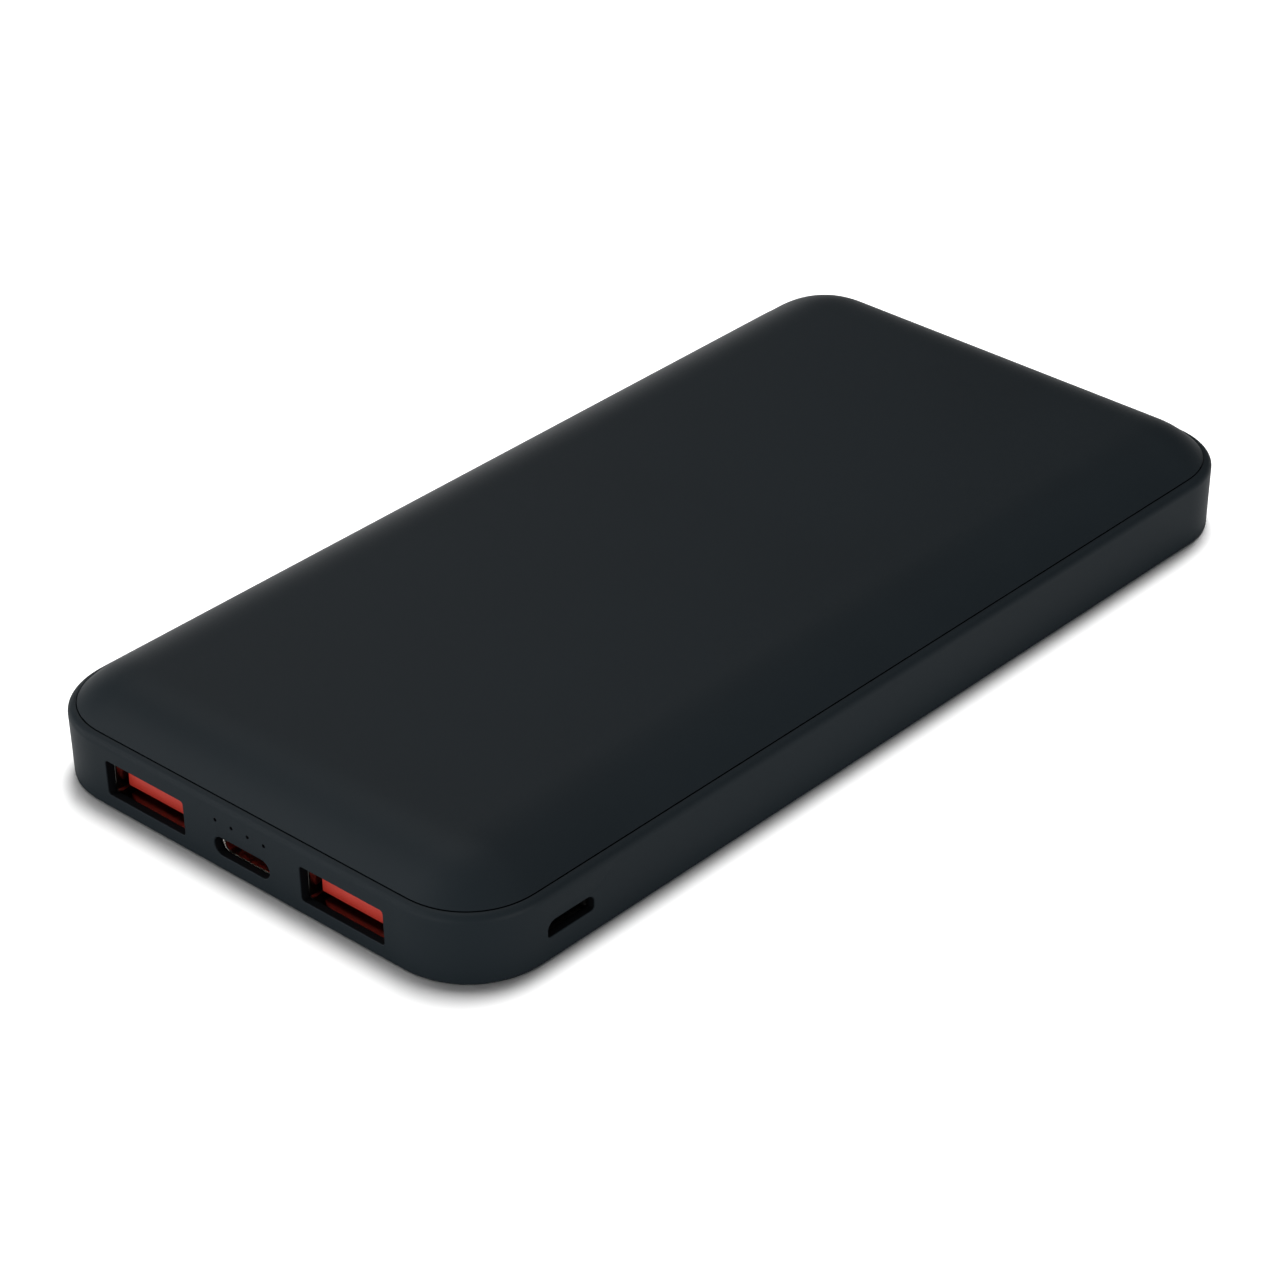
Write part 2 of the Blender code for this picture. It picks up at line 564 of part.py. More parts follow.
# side-push switch under the board's edge
sx0, sx1 = -31.4, -27.9
outer = rect(KEY_Y - 2.3, KEY_Y + 2.3, U - 1.95, U)
hole = rect(KEY_Y - 1.25, KEY_Y + 1.25, KEY_Z - 0.6, KEY_Z + 0.6)
add('switch_body', loft([(outer, sx1), (outer, sx0), (hole, sx0),
                         (hole, -29.5)], 'X'), DARKINS, smooth=0)
tip = lambda a, b: rounded(a, b, 0.2, 2, 2.0, KEY_Y, KEY_Z)
add('switch_plunger', loft([(tip(1.7, 0.5), -32.65), (tip(2.1, 0.8), -32.45),
                            (tip(2.1, 0.8), -30.1)], 'X'), KEYBLK,
    origin=(-31.4, KEY_Y, KEY_Z), smooth=0)
add('switch_plate', soft_block(sx0, sx1, KEY_Y - 2.3, KEY_Y + 2.3, U - 2.2,
                               U - 2.0, 0.3, 2), STEEL, smooth=0)

# ================================================================ cell
cz = (CELL_Z0 + CELL_Z1) / 2
ch = CELL_Z1 - CELL_Z0
cl, cc = CELL_Y1 - CELL_Y0, (CELL_Y0 + CELL_Y1) / 2
o = lambda i, r: rounded(2 * CELL_X - 2 * i, cl - 2 * i, r, 3, 2.0, 0, cc)
prof = []
for k in range(0, 5):
    a = math.pi / 2 * k / 4
    prof.append((1.6 * (1 - math.sin(a)), 1.6 * (1 - math.cos(a))))
rings = [(o(i, 1.8), CELL_Z0 + z) for i, z in prof]
rings += [(o(i, 1.8), CELL_Z1 - z) for i, z in reversed(prof)]
cell = add('battery_cell', loft(rings), POUCH)
# sealed terrace that the tabs leave through
bm = soft_block(-27.0, 27.0, -46.0, -42.0, cz - 0.25, cz + 0.15, 0.3, 2)
terr = add('_cell_terrace', bm, helper=True)
modifier(cell, terr, 'UNION')
for name, x, m in (('battery_tab_positive', -14.0, ALTAB),
                   ('battery_tab_negative', 13.5, NITAB)):
    path = [(-46.15, cz + 0.10), (-46.9, cz + 0.12), (-47.6, T + 0.12),
            (-50.6, T + 0.12)]
    path.reverse()
    add(name, strip(path, 7.0, 0.16, x), m, smooth=0)
add('terrace_tape', soft_block(-26.0, 26.0, -45.9, -42.75, cz + 0.22, cz + 0.36,
                               0.4, 2), KAPTON, smooth=0)
add('cell_adhesive_1', soft_block(-24.0, -8.0, -36.0, 56.0, FLOOR + 0.05, 1.70,
                                  1.0, 2), ADHES, smooth=0)
add('cell_adhesive_2', soft_block(8.0, 24.0, -36.0, 56.0, FLOOR + 0.05, 1.70,
                                  1.0, 2), ADHES, smooth=0)
add('cell_foam_pad', soft_block(-20.0, 20.0, -28.0, 50.0, 10.2, 11.9, 2.0, 3),
    FOAM)
add('end_foam_block', soft_block(-20.0, 20.0, 64.75, 68.5, 1.3, 7.6, 0.8, 2),
    FOAM)
# thermistor on the cell's shoulder with its two leads joined in one sleeve
add('thermistor', soft_block(20.2, 22.6, -42.2, -39.2, CELL_Z1 + 0.05,
                             CELL_Z1 + 0.95, 0.4, 3, 0.15), ICBLK)


def lead(name, pts, r, mat):
    """Round lead on a smooth curve through the points."""
    P = [Vector(p) for p in pts]
    P = [P[0] * 2 - P[1]] + P + [P[-1] * 2 - P[-2]]
    out = []
    for i in range(1, len(P) - 2):
        for j in range(6):
            u = j / 6.0
            a, b, c, d = P[i - 1], P[i], P[i + 1], P[i + 2]
            out.append(0.5 * ((2 * b) + (c - a) * u
                              + (2 * a - 5 * b + 4 * c - d) * u ** 2
                              + (3 * b - a - 3 * c + d) * u ** 3))
    out.append(P[-2])
    cu = bpy.data.curves.new(name, 'CURVE')
    cu.dimensions = '3D'
    cu.bevel_depth = r * MM
    cu.bevel_resolution = 2
    cu.use_fill_caps = True
    sp = cu.splines.new('POLY')
    sp.points.add(len(out) - 1)
    for q, p in zip(sp.points, out):
        q.co = (p.x * MM, p.y * MM, p.z * MM, 1.0)
    ob = bpy.data.objects.new(name, cu)
    cu.materials.append(mat)
    bpy.context.scene.collection.objects.link(ob)
    return ob


lead('thermistor_lead',
     [(21.4, -42.5, CELL_Z1 + 0.5), (21.5, -43.6, CELL_Z1 + 0.2),
      (22.2, -45.6, 8.6), (23.4, -47.8, 7.2), (24.0, -49.6, 6.7),
      (24.0, -51.2, 6.55)], 0.42, WIREY)
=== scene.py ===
"""Looks for the power bank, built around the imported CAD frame."""

import json
import math

import bmesh
import bpy
from mathutils import Matrix, Vector, noise

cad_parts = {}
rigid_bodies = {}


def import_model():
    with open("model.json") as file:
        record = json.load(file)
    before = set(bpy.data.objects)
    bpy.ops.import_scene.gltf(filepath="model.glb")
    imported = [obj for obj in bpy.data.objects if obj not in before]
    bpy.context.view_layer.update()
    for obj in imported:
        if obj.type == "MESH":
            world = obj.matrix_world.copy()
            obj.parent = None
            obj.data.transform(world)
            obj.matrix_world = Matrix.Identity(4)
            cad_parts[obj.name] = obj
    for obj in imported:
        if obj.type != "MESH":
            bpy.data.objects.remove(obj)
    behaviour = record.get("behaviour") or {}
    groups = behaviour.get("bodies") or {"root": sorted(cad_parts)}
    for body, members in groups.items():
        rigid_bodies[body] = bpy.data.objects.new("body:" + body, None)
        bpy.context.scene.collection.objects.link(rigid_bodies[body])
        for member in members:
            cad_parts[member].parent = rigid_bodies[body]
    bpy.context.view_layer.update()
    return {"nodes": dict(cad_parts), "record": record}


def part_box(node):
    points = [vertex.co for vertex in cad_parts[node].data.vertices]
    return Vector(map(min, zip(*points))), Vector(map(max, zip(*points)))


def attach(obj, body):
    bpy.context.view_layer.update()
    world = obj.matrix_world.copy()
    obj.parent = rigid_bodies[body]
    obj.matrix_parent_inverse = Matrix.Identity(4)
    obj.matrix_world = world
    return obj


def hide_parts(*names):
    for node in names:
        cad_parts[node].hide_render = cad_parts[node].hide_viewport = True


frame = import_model()
MM = 0.001

# ------------------------------------------------------------ frame sizes, mm
BOX = {n: [[c * 1000.0 for c in p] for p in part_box(n)] for n in frame["nodes"]}
LO, HI = BOX["bottom_shell"]
CASE_W, CASE_L = HI[0] - LO[0], HI[1] - LO[1]
CASE_H = BOX["top_cover"][1][2]

CORNER_R, CORNER_P = 11.1, 2.12
DRAFT, FOOT_R, WALL, FLOOR = 0.20, 0.30, 2.0, 1.2
LIP_Z1 = HI[2]                       # top of the rim
LIP_Z0 = LIP_Z1 - 1.0
LIP_IN, RIM_IN, LEDGE_Z = 0.98, 1.05, 7.75
LID_IN, SKIRT_IN, LID_FOOT = 1.12, 1.45, 7.90
DOME_W, DOME_P, DOME_IN, DOME_Z = 10.2, 2.62, 1.03, 9.15
COVER_T, SKIRT_T = 1.4, 1.4
PORT_X = -0.45
USB_A_X = (PORT_X - 16.0, PORT_X + 16.0)
USB_A_Z, USB_A_Y0 = 4.25, BOX["usb_a_1_shell"][0][1]
USB_C_X, USB_C_Z, USB_C_Y0 = -0.5, 3.25, BOX["usb_c_shell"][0][1]
MICRO_X1 = BOX["micro_usb_shell"][1][0]
MICRO_Y, MICRO_Z = -55.25, 4.12
LED_Z = 6.67
LED_X = [-0.55 + 2.633 * (k - 1.5) for k in range(4)]
KEY_Y, KEY_Z = -55.0, 4.0
BOSSES = [(-7.4, -60.4), (6.5, -60.4), (-27.6, -49.6), (26.4, -49.6)]
HOOKS = [(s, y) for s in (-1, 1) for y in (-34.0, 2.0, 38.0)]


# ================================================================ mesh helpers
def corner_pts(r, n, p=2.0):
    out = []
    for k in range(n + 1):
        t = math.pi / 2 * k / n
        c, s = max(math.cos(t), 0.0), max(math.sin(t), 0.0)
        out.append((r * c ** (2.0 / p), r * s ** (2.0 / p)))
    return out


def rounded(w, h, r, n=4, p=2.0, cx=0.0, cy=0.0, fill=None):
    """Rounded rectangle outline, anticlockwise. fill adds points along the
    straight sides: a support point next to each arc and even ones between."""
    r = min(r, w / 2 - 1e-4, h / 2 - 1e-4)
    q = corner_pts(r, n, p)
    a, b = w / 2 - r, h / 2 - r
    quads = [[(a + x, b + y) for x, y in q],
             [(-a - x, b + y) for x, y in reversed(q)],
             [(-a - x, -b - y) for x, y in q],
             [(a + x, -b - y) for x, y in reversed(q)]]
    pts = []
    for i in range(4):
        pts += quads[i]
        if fill:
            m, gap = fill[i % 2], fill[2]
            p0, p1 = Vector(quads[i][-1]), Vector(quads[(i + 1) % 4][0])
            d = p1 - p0
            L = d.length
            if L > 2.5 * gap:
                ts = [gap / L] + [k / (m + 1) for k in range(1, m + 1)] \
                    + [1 - gap / L]
                pts += [tuple(p0 + d * t) for t in sorted(ts)]
    return [(x + cx, y + cy) for x, y in pts]


def circle(r, n, cx=0.0, cy=0.0):
    return [(cx + r * math.cos(2 * math.pi * k / n),
             cy + r * math.sin(2 * math.pi * k / n)) for k in range(n)]


def rect(x0, x1, y0, y1):
    return [(x0, y0), (x1, y0), (x1, y1), (x0, y1)]


def offset_outline(pts, d):
    """Moves a convex-ish outline outwards by d along vertex normals."""
    n = len(pts)
    out = []
    for i in range(n):
        a, b, c = Vector(pts[i - 1]), Vector(pts[i]), Vector(pts[(i + 1) % n])
        e0, e1 = (b - a), (c - b)
        if e0.length < 1e-9 or e1.length < 1e-9:
            out.append(tuple(b))
            continue
        n0 = Vector((e0.y, -e0.x)).normalized()
        n1 = Vector((e1.y, -e1.x)).normalized()
        m = n0 + n1
        if m.length < 1e-6:
            out.append(tuple(b))
            continue
        m.normalize()
        out.append(tuple(b + m * (d / max(m.dot(n0), 0.3))))
    return out


PLACE = {
    'X': lambda u, v, d: (d, u, v),
    'Y': lambda u, v, d: (u, d, v),
    'Z': lambda u, v, d: (u, v, d),
}


def loft(rings, axis='Z', bm=None, caps=True, closed=False, mats=None):
    bm = bm or bmesh.new()
    put = PLACE[axis] if isinstance(axis, str) else axis
    loops = [[bm.verts.new(put(u, v, d)) for u, v in pts] for pts, d in rings]
    n = len(loops[0])
    pairs = list(zip(loops, loops[1:]))
    if closed:
        pairs.append((loops[-1], loops[0]))
    for k, (a, b) in enumerate(pairs):
        for i in range(n):
            j = (i + 1) % n
            f = bm.faces.new((a[i], a[j], b[j], b[i]))
            if mats:
                f.material_index = mats[k]
    if caps and not closed:
        f0 = bm.faces.new(list(reversed(loops[0])))
        f1 = bm.faces.new(loops[-1])
        if mats:
            f0.material_index = mats[0]
            f1.material_index = mats[-1]
    return bm


def prism(pts, axis, d0, d1, bm=None):
    return loft([(pts, d0), (pts, d1)], axis, bm)


def block(x0, x1, y0, y1, z0, z1, bm=None):
    return prism(rect(min(x0, x1), max(x0, x1), min(y0, y1), max(y0, y1)), 'Z',
                 z0, z1, bm)


def pill(axis, outline, d0, d1, r=0.1, seg=3, bm=None):
    """Extrusion of an outline with rounded ends of radius r."""
    rings = []
    for k in range(seg + 1):
        t = math.pi / 2 * k / seg
        rings.append((offset_outline(outline, -r * (1 - math.sin(t))),
                      d0 + r * (1 - math.cos(t))))
    for k in range(seg, -1, -1):
        t = math.pi / 2 * k / seg
        rings.append((offset_outline(outline, -r * (1 - math.sin(t))),
                      d1 - r * (1 - math.cos(t))))
    return loft(rings, axis, bm)


def soft_box(x0, x1, y0, y1, z0, z1, r=0.2, n=4, edge=0.1, seg=3, bm=None):
    w, l = x1 - x0, y1 - y0
    o = rounded(w, l, r, n, 2.0, (x0 + x1) / 2, (y0 + y1) / 2)
    return pill('Z', o, z0, z1, edge, seg, bm)


def mesh_object(name, bm, mats, smooth=32.0):
    for v in bm.verts:
        v.co = v.co * MM
    bmesh.ops.recalc_face_normals(bm, faces=bm.faces)
    me = bpy.data.meshes.new(name)
    bm.to_mesh(me)
    bm.free()
    ob = bpy.data.objects.new(name, me)
    bpy.context.scene.collection.objects.link(ob)
    for m in mats:
        me.materials.append(m)
    if smooth:
        me.shade_smooth()
        me.set_sharp_from_angle(angle=math.radians(smooth))
    return ob


def raw_object(name, bm):
    for v in bm.verts:
        v.co = v.co * MM
    bmesh.ops.recalc_face_normals(bm, faces=bm.faces)
    me = bpy.data.meshes.new(name)
    bm.to_mesh(me)
    bm.free()
    ob = bpy.data.objects.new(name, me)
    bpy.context.scene.collection.objects.link(ob)
    return ob


def solid_ops(ob, steps, smooth=32.0):
    """Runs Boolean steps [(how, bmesh)] and applies them to the mesh."""
    tools = []
    for k, (how, bm) in enumerate(steps):
        t = raw_object("%s_tool_%d" % (ob.name, k), bm)
        for mt in ob.data.materials:
            t.data.materials.append(mt)
        m = ob.modifiers.new("b%d" % k, 'BOOLEAN')
        m.operation, m.solver, m.object = how, 'EXACT', t
        tools.append(t)
    bpy.context.view_layer.update()
    dg = bpy.context.evaluated_depsgraph_get()
    me = bpy.data.meshes.new_from_object(ob.evaluated_get(dg))
    old = ob.data
    mats = list(old.materials)
    ob.modifiers.clear()
    ob.data = me
    slots = [min(f.material_index, len(mats) - 1) for f in me.polygons]
    me.materials.clear()
    for m in mats:
        me.materials.append(m)
    me.polygons.foreach_set("material_index", slots)
    for t in tools:
        d = t.data
        bpy.data.objects.remove(t, do_unlink=True)
        bpy.data.meshes.remove(d)
    bpy.data.meshes.remove(old)
    me.name = ob.name
    if smooth:
        me.shade_smooth()
        me.set_sharp_from_angle(angle=math.radians(smooth))
    return ob


def place(ob, body, slot, *nodes):
    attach(ob, body)
    if nodes:
        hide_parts(*nodes)
    return ob


# ================================================================ materials
def srgb(r, g, b):
    f = lambda c: (c / 12.92) if c <= 0.04045 else ((c + 0.055) / 1.055) ** 2.4
    return tuple(f(c / 255.0) for c in (r, g, b))


class Mat:
    """Small wrapper for procedural Principled materials."""

    def __init__(self, name, **sockets):
        self.m = bpy.data.materials.new(name)
        self.m.use_nodes = True
        self.nt = self.m.node_tree
        self.b = self.nt.nodes["Principled BSDF"]
        self.co = self.nt.nodes.new("ShaderNodeTexCoord")
        for k, v in sockets.items():
            self.set(k.replace("_", " "), v)

    def set(self, key, v):
        if isinstance(v, tuple) and len(v) == 3:
            v = (*v, 1.0)
        self.b.inputs[key].default_value = v

    def node(self, kind, **kw):
        n = self.nt.nodes.new(kind)
        for k, v in kw.items():
            setattr(n, k, v)
        return n

    def link(self, a, b):
        self.nt.links.new(a, b)

    def noise(self, scale, detail=2.0, rough=0.5, stretch=None, distort=0.0):
        """Noise in object space; scale is in cycles per metre."""
        n = self.node("ShaderNodeTexNoise")
        n.inputs["Scale"].default_value = scale
        n.inputs["Detail"].default_value = detail
        n.inputs["Roughness"].default_value = rough
        n.inputs["Distortion"].default_value = distort
        if stretch:
            mp = self.node("ShaderNodeMapping")
            mp.inputs["Scale"].default_value = stretch
            self.link(self.co.outputs["Object"], mp.inputs["Vector"])
            self.link(mp.outputs["Vector"], n.inputs["Vector"])
        else:
            self.link(self.co.outputs["Object"], n.inputs["Vector"])
        return n.outputs["Fac"]

    def colour(self, fac, stops):
        r = self.node("ShaderNodeValToRGB")
        e = r.color_ramp.elements
        while len(e) > len(stops):
            e.remove(e[-1])
        while len(e) < len(stops):
            e.new(0.5)
        for el, (p, c) in zip(e, stops):
            el.position = p
            el.color = (*c, 1.0)
        self.link(fac, r.inputs["Fac"])
        self.link(r.outputs["Color"], self.b.inputs["Base Color"])
        return r

    def rough(self, fac, lo, hi, a=0.3, b=0.7):
        mr = self.node("ShaderNodeMapRange")
        mr.inputs["From Min"].default_value = a
        mr.inputs["From Max"].default_value = b
        mr.inputs["To Min"].default_value = lo
        mr.inputs["To Max"].default_value = hi
        self.link(fac, mr.inputs["Value"])
        self.link(mr.outputs["Result"], self.b.inputs["Roughness"])

    def bump(self, fac, strength, dist_mm):
        bp = self.node("ShaderNodeBump")
        bp.inputs["Strength"].default_value = strength
        bp.inputs["Distance"].default_value = dist_mm * MM
        self.link(fac, bp.inputs["Height"])
        self.link(bp.outputs["Normal"], self.b.inputs["Normal"])
        return bp

    def add(self, a, b, wa=1.0, wb=1.0):
        ma = self.node("ShaderNodeMath", operation='MULTIPLY')
        self.link(a, ma.inputs[0])
        ma.inputs[1].default_value = wa
        mb = self.node("ShaderNodeMath", operation='MULTIPLY_ADD')
        self.link(b, mb.inputs[0])
        mb.inputs[1].default_value = wb
        self.link(ma.outputs[0], mb.inputs[2])
        return mb.outputs[0]


def moulded(name, base, spread, r0, r1, grain=4200.0, bump=0.22, dist=0.02,
            spec=0.5, sheen=0.0):
    """Satin moulded plastic: fine spark-eroded grain, faint tone drift."""
    m = Mat(name)
    m.set("Specular IOR Level", spec)
    if sheen:
        m.set("Sheen Weight", sheen)
        m.set("Sheen Roughness", 0.4)
    drift = m.noise(38.0, 3.0, 0.55)
    fine = m.noise(grain, 2.0, 0.6)
    lo = tuple(c * (1 - spread) for c in base)
    hi = tuple(c * (1 + spread) for c in base)
    m.colour(drift, [(0.30, lo), (0.70, hi)])
    m.rough(m.add(drift, fine, 0.6, 0.4), r0, r1)
    m.bump(m.add(fine, m.noise(grain * 2.7, 1.0), 0.7, 0.3), bump, dist)
    return m.m


def metal(name, base, r0, r1, stretch=(1, 1, 1), grain=900.0, bump=0.05,
          tint=0.06):
    """Plated sheet metal with rolling marks and faint tarnish."""
    m = Mat(name)
    m.set("Metallic", 1.0)
    brush = m.noise(grain, 3.0, 0.6, stretch)
    stain = m.noise(160.0, 3.0, 0.6)
    lo = (base[0] * (1 - tint), base[1] * (1 - tint * 1.2),
          base[2] * (1 - tint * 1.6))
    m.colour(stain, [(0.30, lo), (0.72, base)])
    m.rough(m.add(brush, stain, 0.7, 0.3), r0, r1)
    m.bump(brush, bump, 0.01)
    return m.m


CASE = moulded("case_soft_black", (0.0041, 0.0057, 0.0069), 0.06, 0.46, 0.56,
               4200, 0.20, 0.02, 0.026)
LID = moulded("cover_soft_black", (0.0041, 0.0057, 0.0069), 0.06, 0.47, 0.57,
              4200, 0.20, 0.02, 0.026)
# slot 1 of the case: a darker black for the walls inside the openings and pockets;
# bare plastic without the soft coat, and also painted shade for these recesses
BARE_AND_SHADE = moulded("case_bare_inside_and_painted_shade", (0.0016, 0.0018, 0.0022), 0.08, 0.50, 0.62,
               3600, 0.15, 0.02, 0.02)
KEYM = moulded("key_satin_black", (0.0033, 0.0048, 0.0060), 0.05, 0.40, 0.50,
               5200, 0.15, 0.015, 0.07)
INSIDE = moulded("moulded_insulator_black", (0.010, 0.010, 0.011), 0.08, 0.42,
                 0.55, 3000, 0.2, 0.02, 0.45)
ORANGE = moulded("moulded_insulator_orange", srgb(214, 62, 48), 0.07, 0.38,
                 0.50, 2600, 0.15, 0.012, 0.3)
STEEL = metal("nickel_plate", (0.58, 0.565, 0.53), 0.20, 0.34, (1, 0.08, 1),
              1400, 0.03)
# darker nickel, painted shade: the insides and rims of the USB-A shells, and the USB-C
# shell's outside and outer rim, where it keeps the rim from showing a highlight
SHADE_STEEL = metal("nickel_painted_shade", (0.15, 0.143, 0.135), 0.14, 0.24, (1, 0.08, 1),
             1400, 0.02)
# nickel for the inside of the USB-C shell, darker than the plain nickel: painted shade
# for the socket's inside
SHADE_STEELC = metal("nickel_painted_shade_c", (0.42, 0.40, 0.375), 0.14, 0.24, (1, 0.08, 1),
              1400, 0.02)
# near-black nickel for the inside and mouth of the micro-USB shell: painted shade for
# the socket's dark inside
SHADE_STEELX = metal("nickel_painted_shade_x", (0.040, 0.039, 0.038), 0.30, 0.42, (0.08, 1, 1),
              1400, 0.02)
GOLD = metal("gold_flash", (0.83, 0.58, 0.25), 0.18, 0.30, (1, 0.1, 1), 2200)

# ================================================================ case
FILL = (4, 9, 0.35)          # short side, long side, support distance


def plan(inset, n=22):
    return rounded(CASE_W - 2 * inset, CASE_L - 2 * inset,
                   max(CORNER_R - inset, 0.8), n, CORNER_P, fill=FILL)


def wall_in(z):
    return DRAFT * (LIP_Z0 - z) / (LIP_Z0 - FOOT_R)


def dome(inset, top, start_in, base=DOME_Z):
    u = min(max((inset - start_in) / DOME_W, 0.0), 1.0)
    return base + (top - base) * (1 - (1 - u) ** DOME_P)


def face_y(z):
    return -CASE_L / 2 + wall_in(z)


def face_x(z):
    return CASE_W / 2 - wall_in(z)


def front_put(u, v, d):
    """Outline in X, Z; d runs in from the leaning port wall."""
    return (u, face_y(v) + d, v)


def right_put(u, v, d):
    return (face_x(v) - d, u, v)


def left_put(u, v, d):
    return (-face_x(v) + d, u, v)


def mouth(outline, put, depth, r, bm, seg=4):
    """Cutter with a rounded mouth edge of radius r at the wall's face."""
    rings = [(offset_outline(outline, r), -1.0),
             (offset_outline(outline, r), -0.02)]
    for k in range(1, seg + 1):
        t = math.pi / 2 * k / seg
        rings.append((offset_outline(outline, r * (1 - math.sin(t))),
                      r * (1 - math.cos(t))))
    rings.append((outline, depth))
    # the cutter's deep faces are slot 1, so the opening walls take the darker inside
    # black, painted shade for the recess
    return loft(rings, put, bm, mats=[0] * (seg + 1) + [1])


rings = []
for k in range(0, 5):
    t = math.pi / 2 * k / 4
    rings.append((plan(DRAFT + FOOT_R * (1 - math.sin(t))),
                  FOOT_R * (1 - math.cos(t))))
rings.append((plan(wall_in(FOOT_R + 0.12)), FOOT_R + 0.12))
rings.append((plan(wall_in(LIP_Z0 - 0.12)), LIP_Z0 - 0.12))
for k in range(0, 10):
    t = math.pi / 2 * k / 9
    rings.append((plan(LIP_IN * (1 - math.cos(t))),
                  LIP_Z0 + (LIP_Z1 - LIP_Z0) * math.sin(t)))
rings += [(plan(RIM_IN), LIP_Z1 - 0.04), (plan(RIM_IN), LEDGE_Z),
          (plan(WALL), LEDGE_Z), (plan(WALL), FLOOR + 0.15),
          (plan(WALL + 0.15), FLOOR)]
lower = mesh_object("lower_case", loft(rings), [CASE, BARE_AND_SHADE])

posts = bmesh.new()
for bx, by in BOSSES:
    prism(circle(1.8, 32, bx, by), 'Z', FLOOR - 0.4, 4.90, posts)
for s in (-1, 1):
    block(s * 31.7 - 0.5, s * 31.7 + 0.5, -38.0, 60.0, FLOOR - 0.4, 4.2, posts)
block(-24.0, 24.0, -45.7, -44.7, FLOOR - 0.4, 3.4, posts)
for x in (-24.0, 24.0):
    block(x - 0.5, x + 0.5, 65.2, 67.6, FLOOR - 0.4, 5.0, posts)

cut = bmesh.new()
for x in USB_A_X:
    mouth(rounded(13.0, 4.7, 0.40, 6, 2.0, x, USB_A_Z), front_put, 2.6, 0.10,
          cut)
mouth(rounded(9.0, 2.5, 1.25, 10, 2.0, USB_C_X, USB_C_Z), front_put, 1.6, 0.12,
      cut)
for x in LED_X:
    mouth(circle(0.24, 14, x, LED_Z), front_put, 1.2, 0.05, cut, 2)
micro = [(-3.7, 0.06), (-3.63, 0.34), (-3.44, 0.64), (-3.16, 0.88),
         (-2.86, 1.01), (-2.6, 1.05), (2.6, 1.05), (2.86, 1.01),
         (3.16, 0.88), (3.44, 0.64), (3.63, 0.34), (3.7, 0.06),
         (3.7, -0.67), (3.66, -0.86), (3.52, -0.99), (3.3, -1.05),
         (-3.3, -1.05), (-3.52, -0.99), (-3.66, -0.86), (-3.7, -0.67)]
micro = [(MICRO_Y + u, MICRO_Z + v) for u, v in reversed(micro)]
mouth(micro, right_put, 1.5, 0.12, cut)
mouth(rounded(8.8, 3.0, 1.5, 10, 2.0, KEY_Y, KEY_Z), left_put, 2.6, 0.16, cut)
for bx, by in BOSSES:
    prism(circle(0.75, 20, bx, by), 'Z', FLOOR + 0.2, 6.0, cut)

pk = bmesh.new()
for x in USB_A_X:
    prism(rounded(13.4, 5.96, 0.85, 5, 2.0, x, USB_A_Z), 'Y', USB_A_Y0 - 0.15,
          -68.4, pk)
prism(rounded(9.7, 4.0, 1.9, 8, 2.0, USB_C_X, USB_C_Z), 'Y', USB_C_Y0 - 0.15,
      -68.4, pk)
for x in LED_X:
    block(x - 0.65, x + 0.65, -70.0, -68.4, LED_Z - 0.65, LED_Z + 0.65, pk)
block(33.4, MICRO_X1 + 0.15, MICRO_Y - 4.5, MICRO_Y + 4.5, 2.35, 5.9, pk)
for s, y in HOOKS:
    block(s * (CASE_W / 2 - WALL - 0.3), s * (CASE_W / 2 - 1.35), y - 3.4,
          y + 3.4, 5.1, 6.6, pk)
# the pockets' faces take slot 1, the darker inside black, painted shade inside the
# case
for f in pk.faces:
    f.material_index = 1
solid_ops(lower, [('UNION', posts), ('DIFFERENCE', cut), ('DIFFERENCE', pk)])
place(lower, "housing", "case_black", "bottom_shell")

rings = []
NR = 26
for k in range(NR, 0, -1):
    i = LID_IN + (DOME_IN + DOME_W - LID_IN) * (k / NR) ** 1.35
    rings.append((plan(i), dome(i, CASE_H, DOME_IN)))
z0 = dome(LID_IN, CASE_H, DOME_IN)
rings += [(plan(LID_IN), z0), (plan(LID_IN + 0.02), z0 - 0.04),
          (plan(LID_IN + 0.07), z0 - 0.06), (plan(SKIRT_IN), z0 - 0.06),
          (plan(SKIRT_IN), LID_FOOT)]
INS = SKIRT_IN + SKIRT_T
rings.append((plan(INS), LID_FOOT))
for k in range(0, 10):
    i = INS + DOME_W * (k / 9.0) ** 1.2
    rings.append((plan(i), dome(i, CASE_H - COVER_T, INS)))
lid = mesh_object("top_lid", loft(rings), [LID])
hk = bmesh.new()
for s, y in HOOKS:
    xo = CASE_W / 2 - WALL - 0.25
    prof = [(xo - 0.9, 8.4), (xo - 0.9, 5.2), (xo - 0.2, 5.2),
            (xo + 0.42, 5.8), (xo + 0.42, 6.15), (xo, 6.4), (xo, 8.4)]
    if s < 0:
        prof = [(-x, z) for x, z in prof]
    prism(prof, 'Y', y - 3.0, y + 3.0, hk)
solid_ops(lid, [('UNION', hk)])
place(lid, "housing", "cover_black", "top_cover")


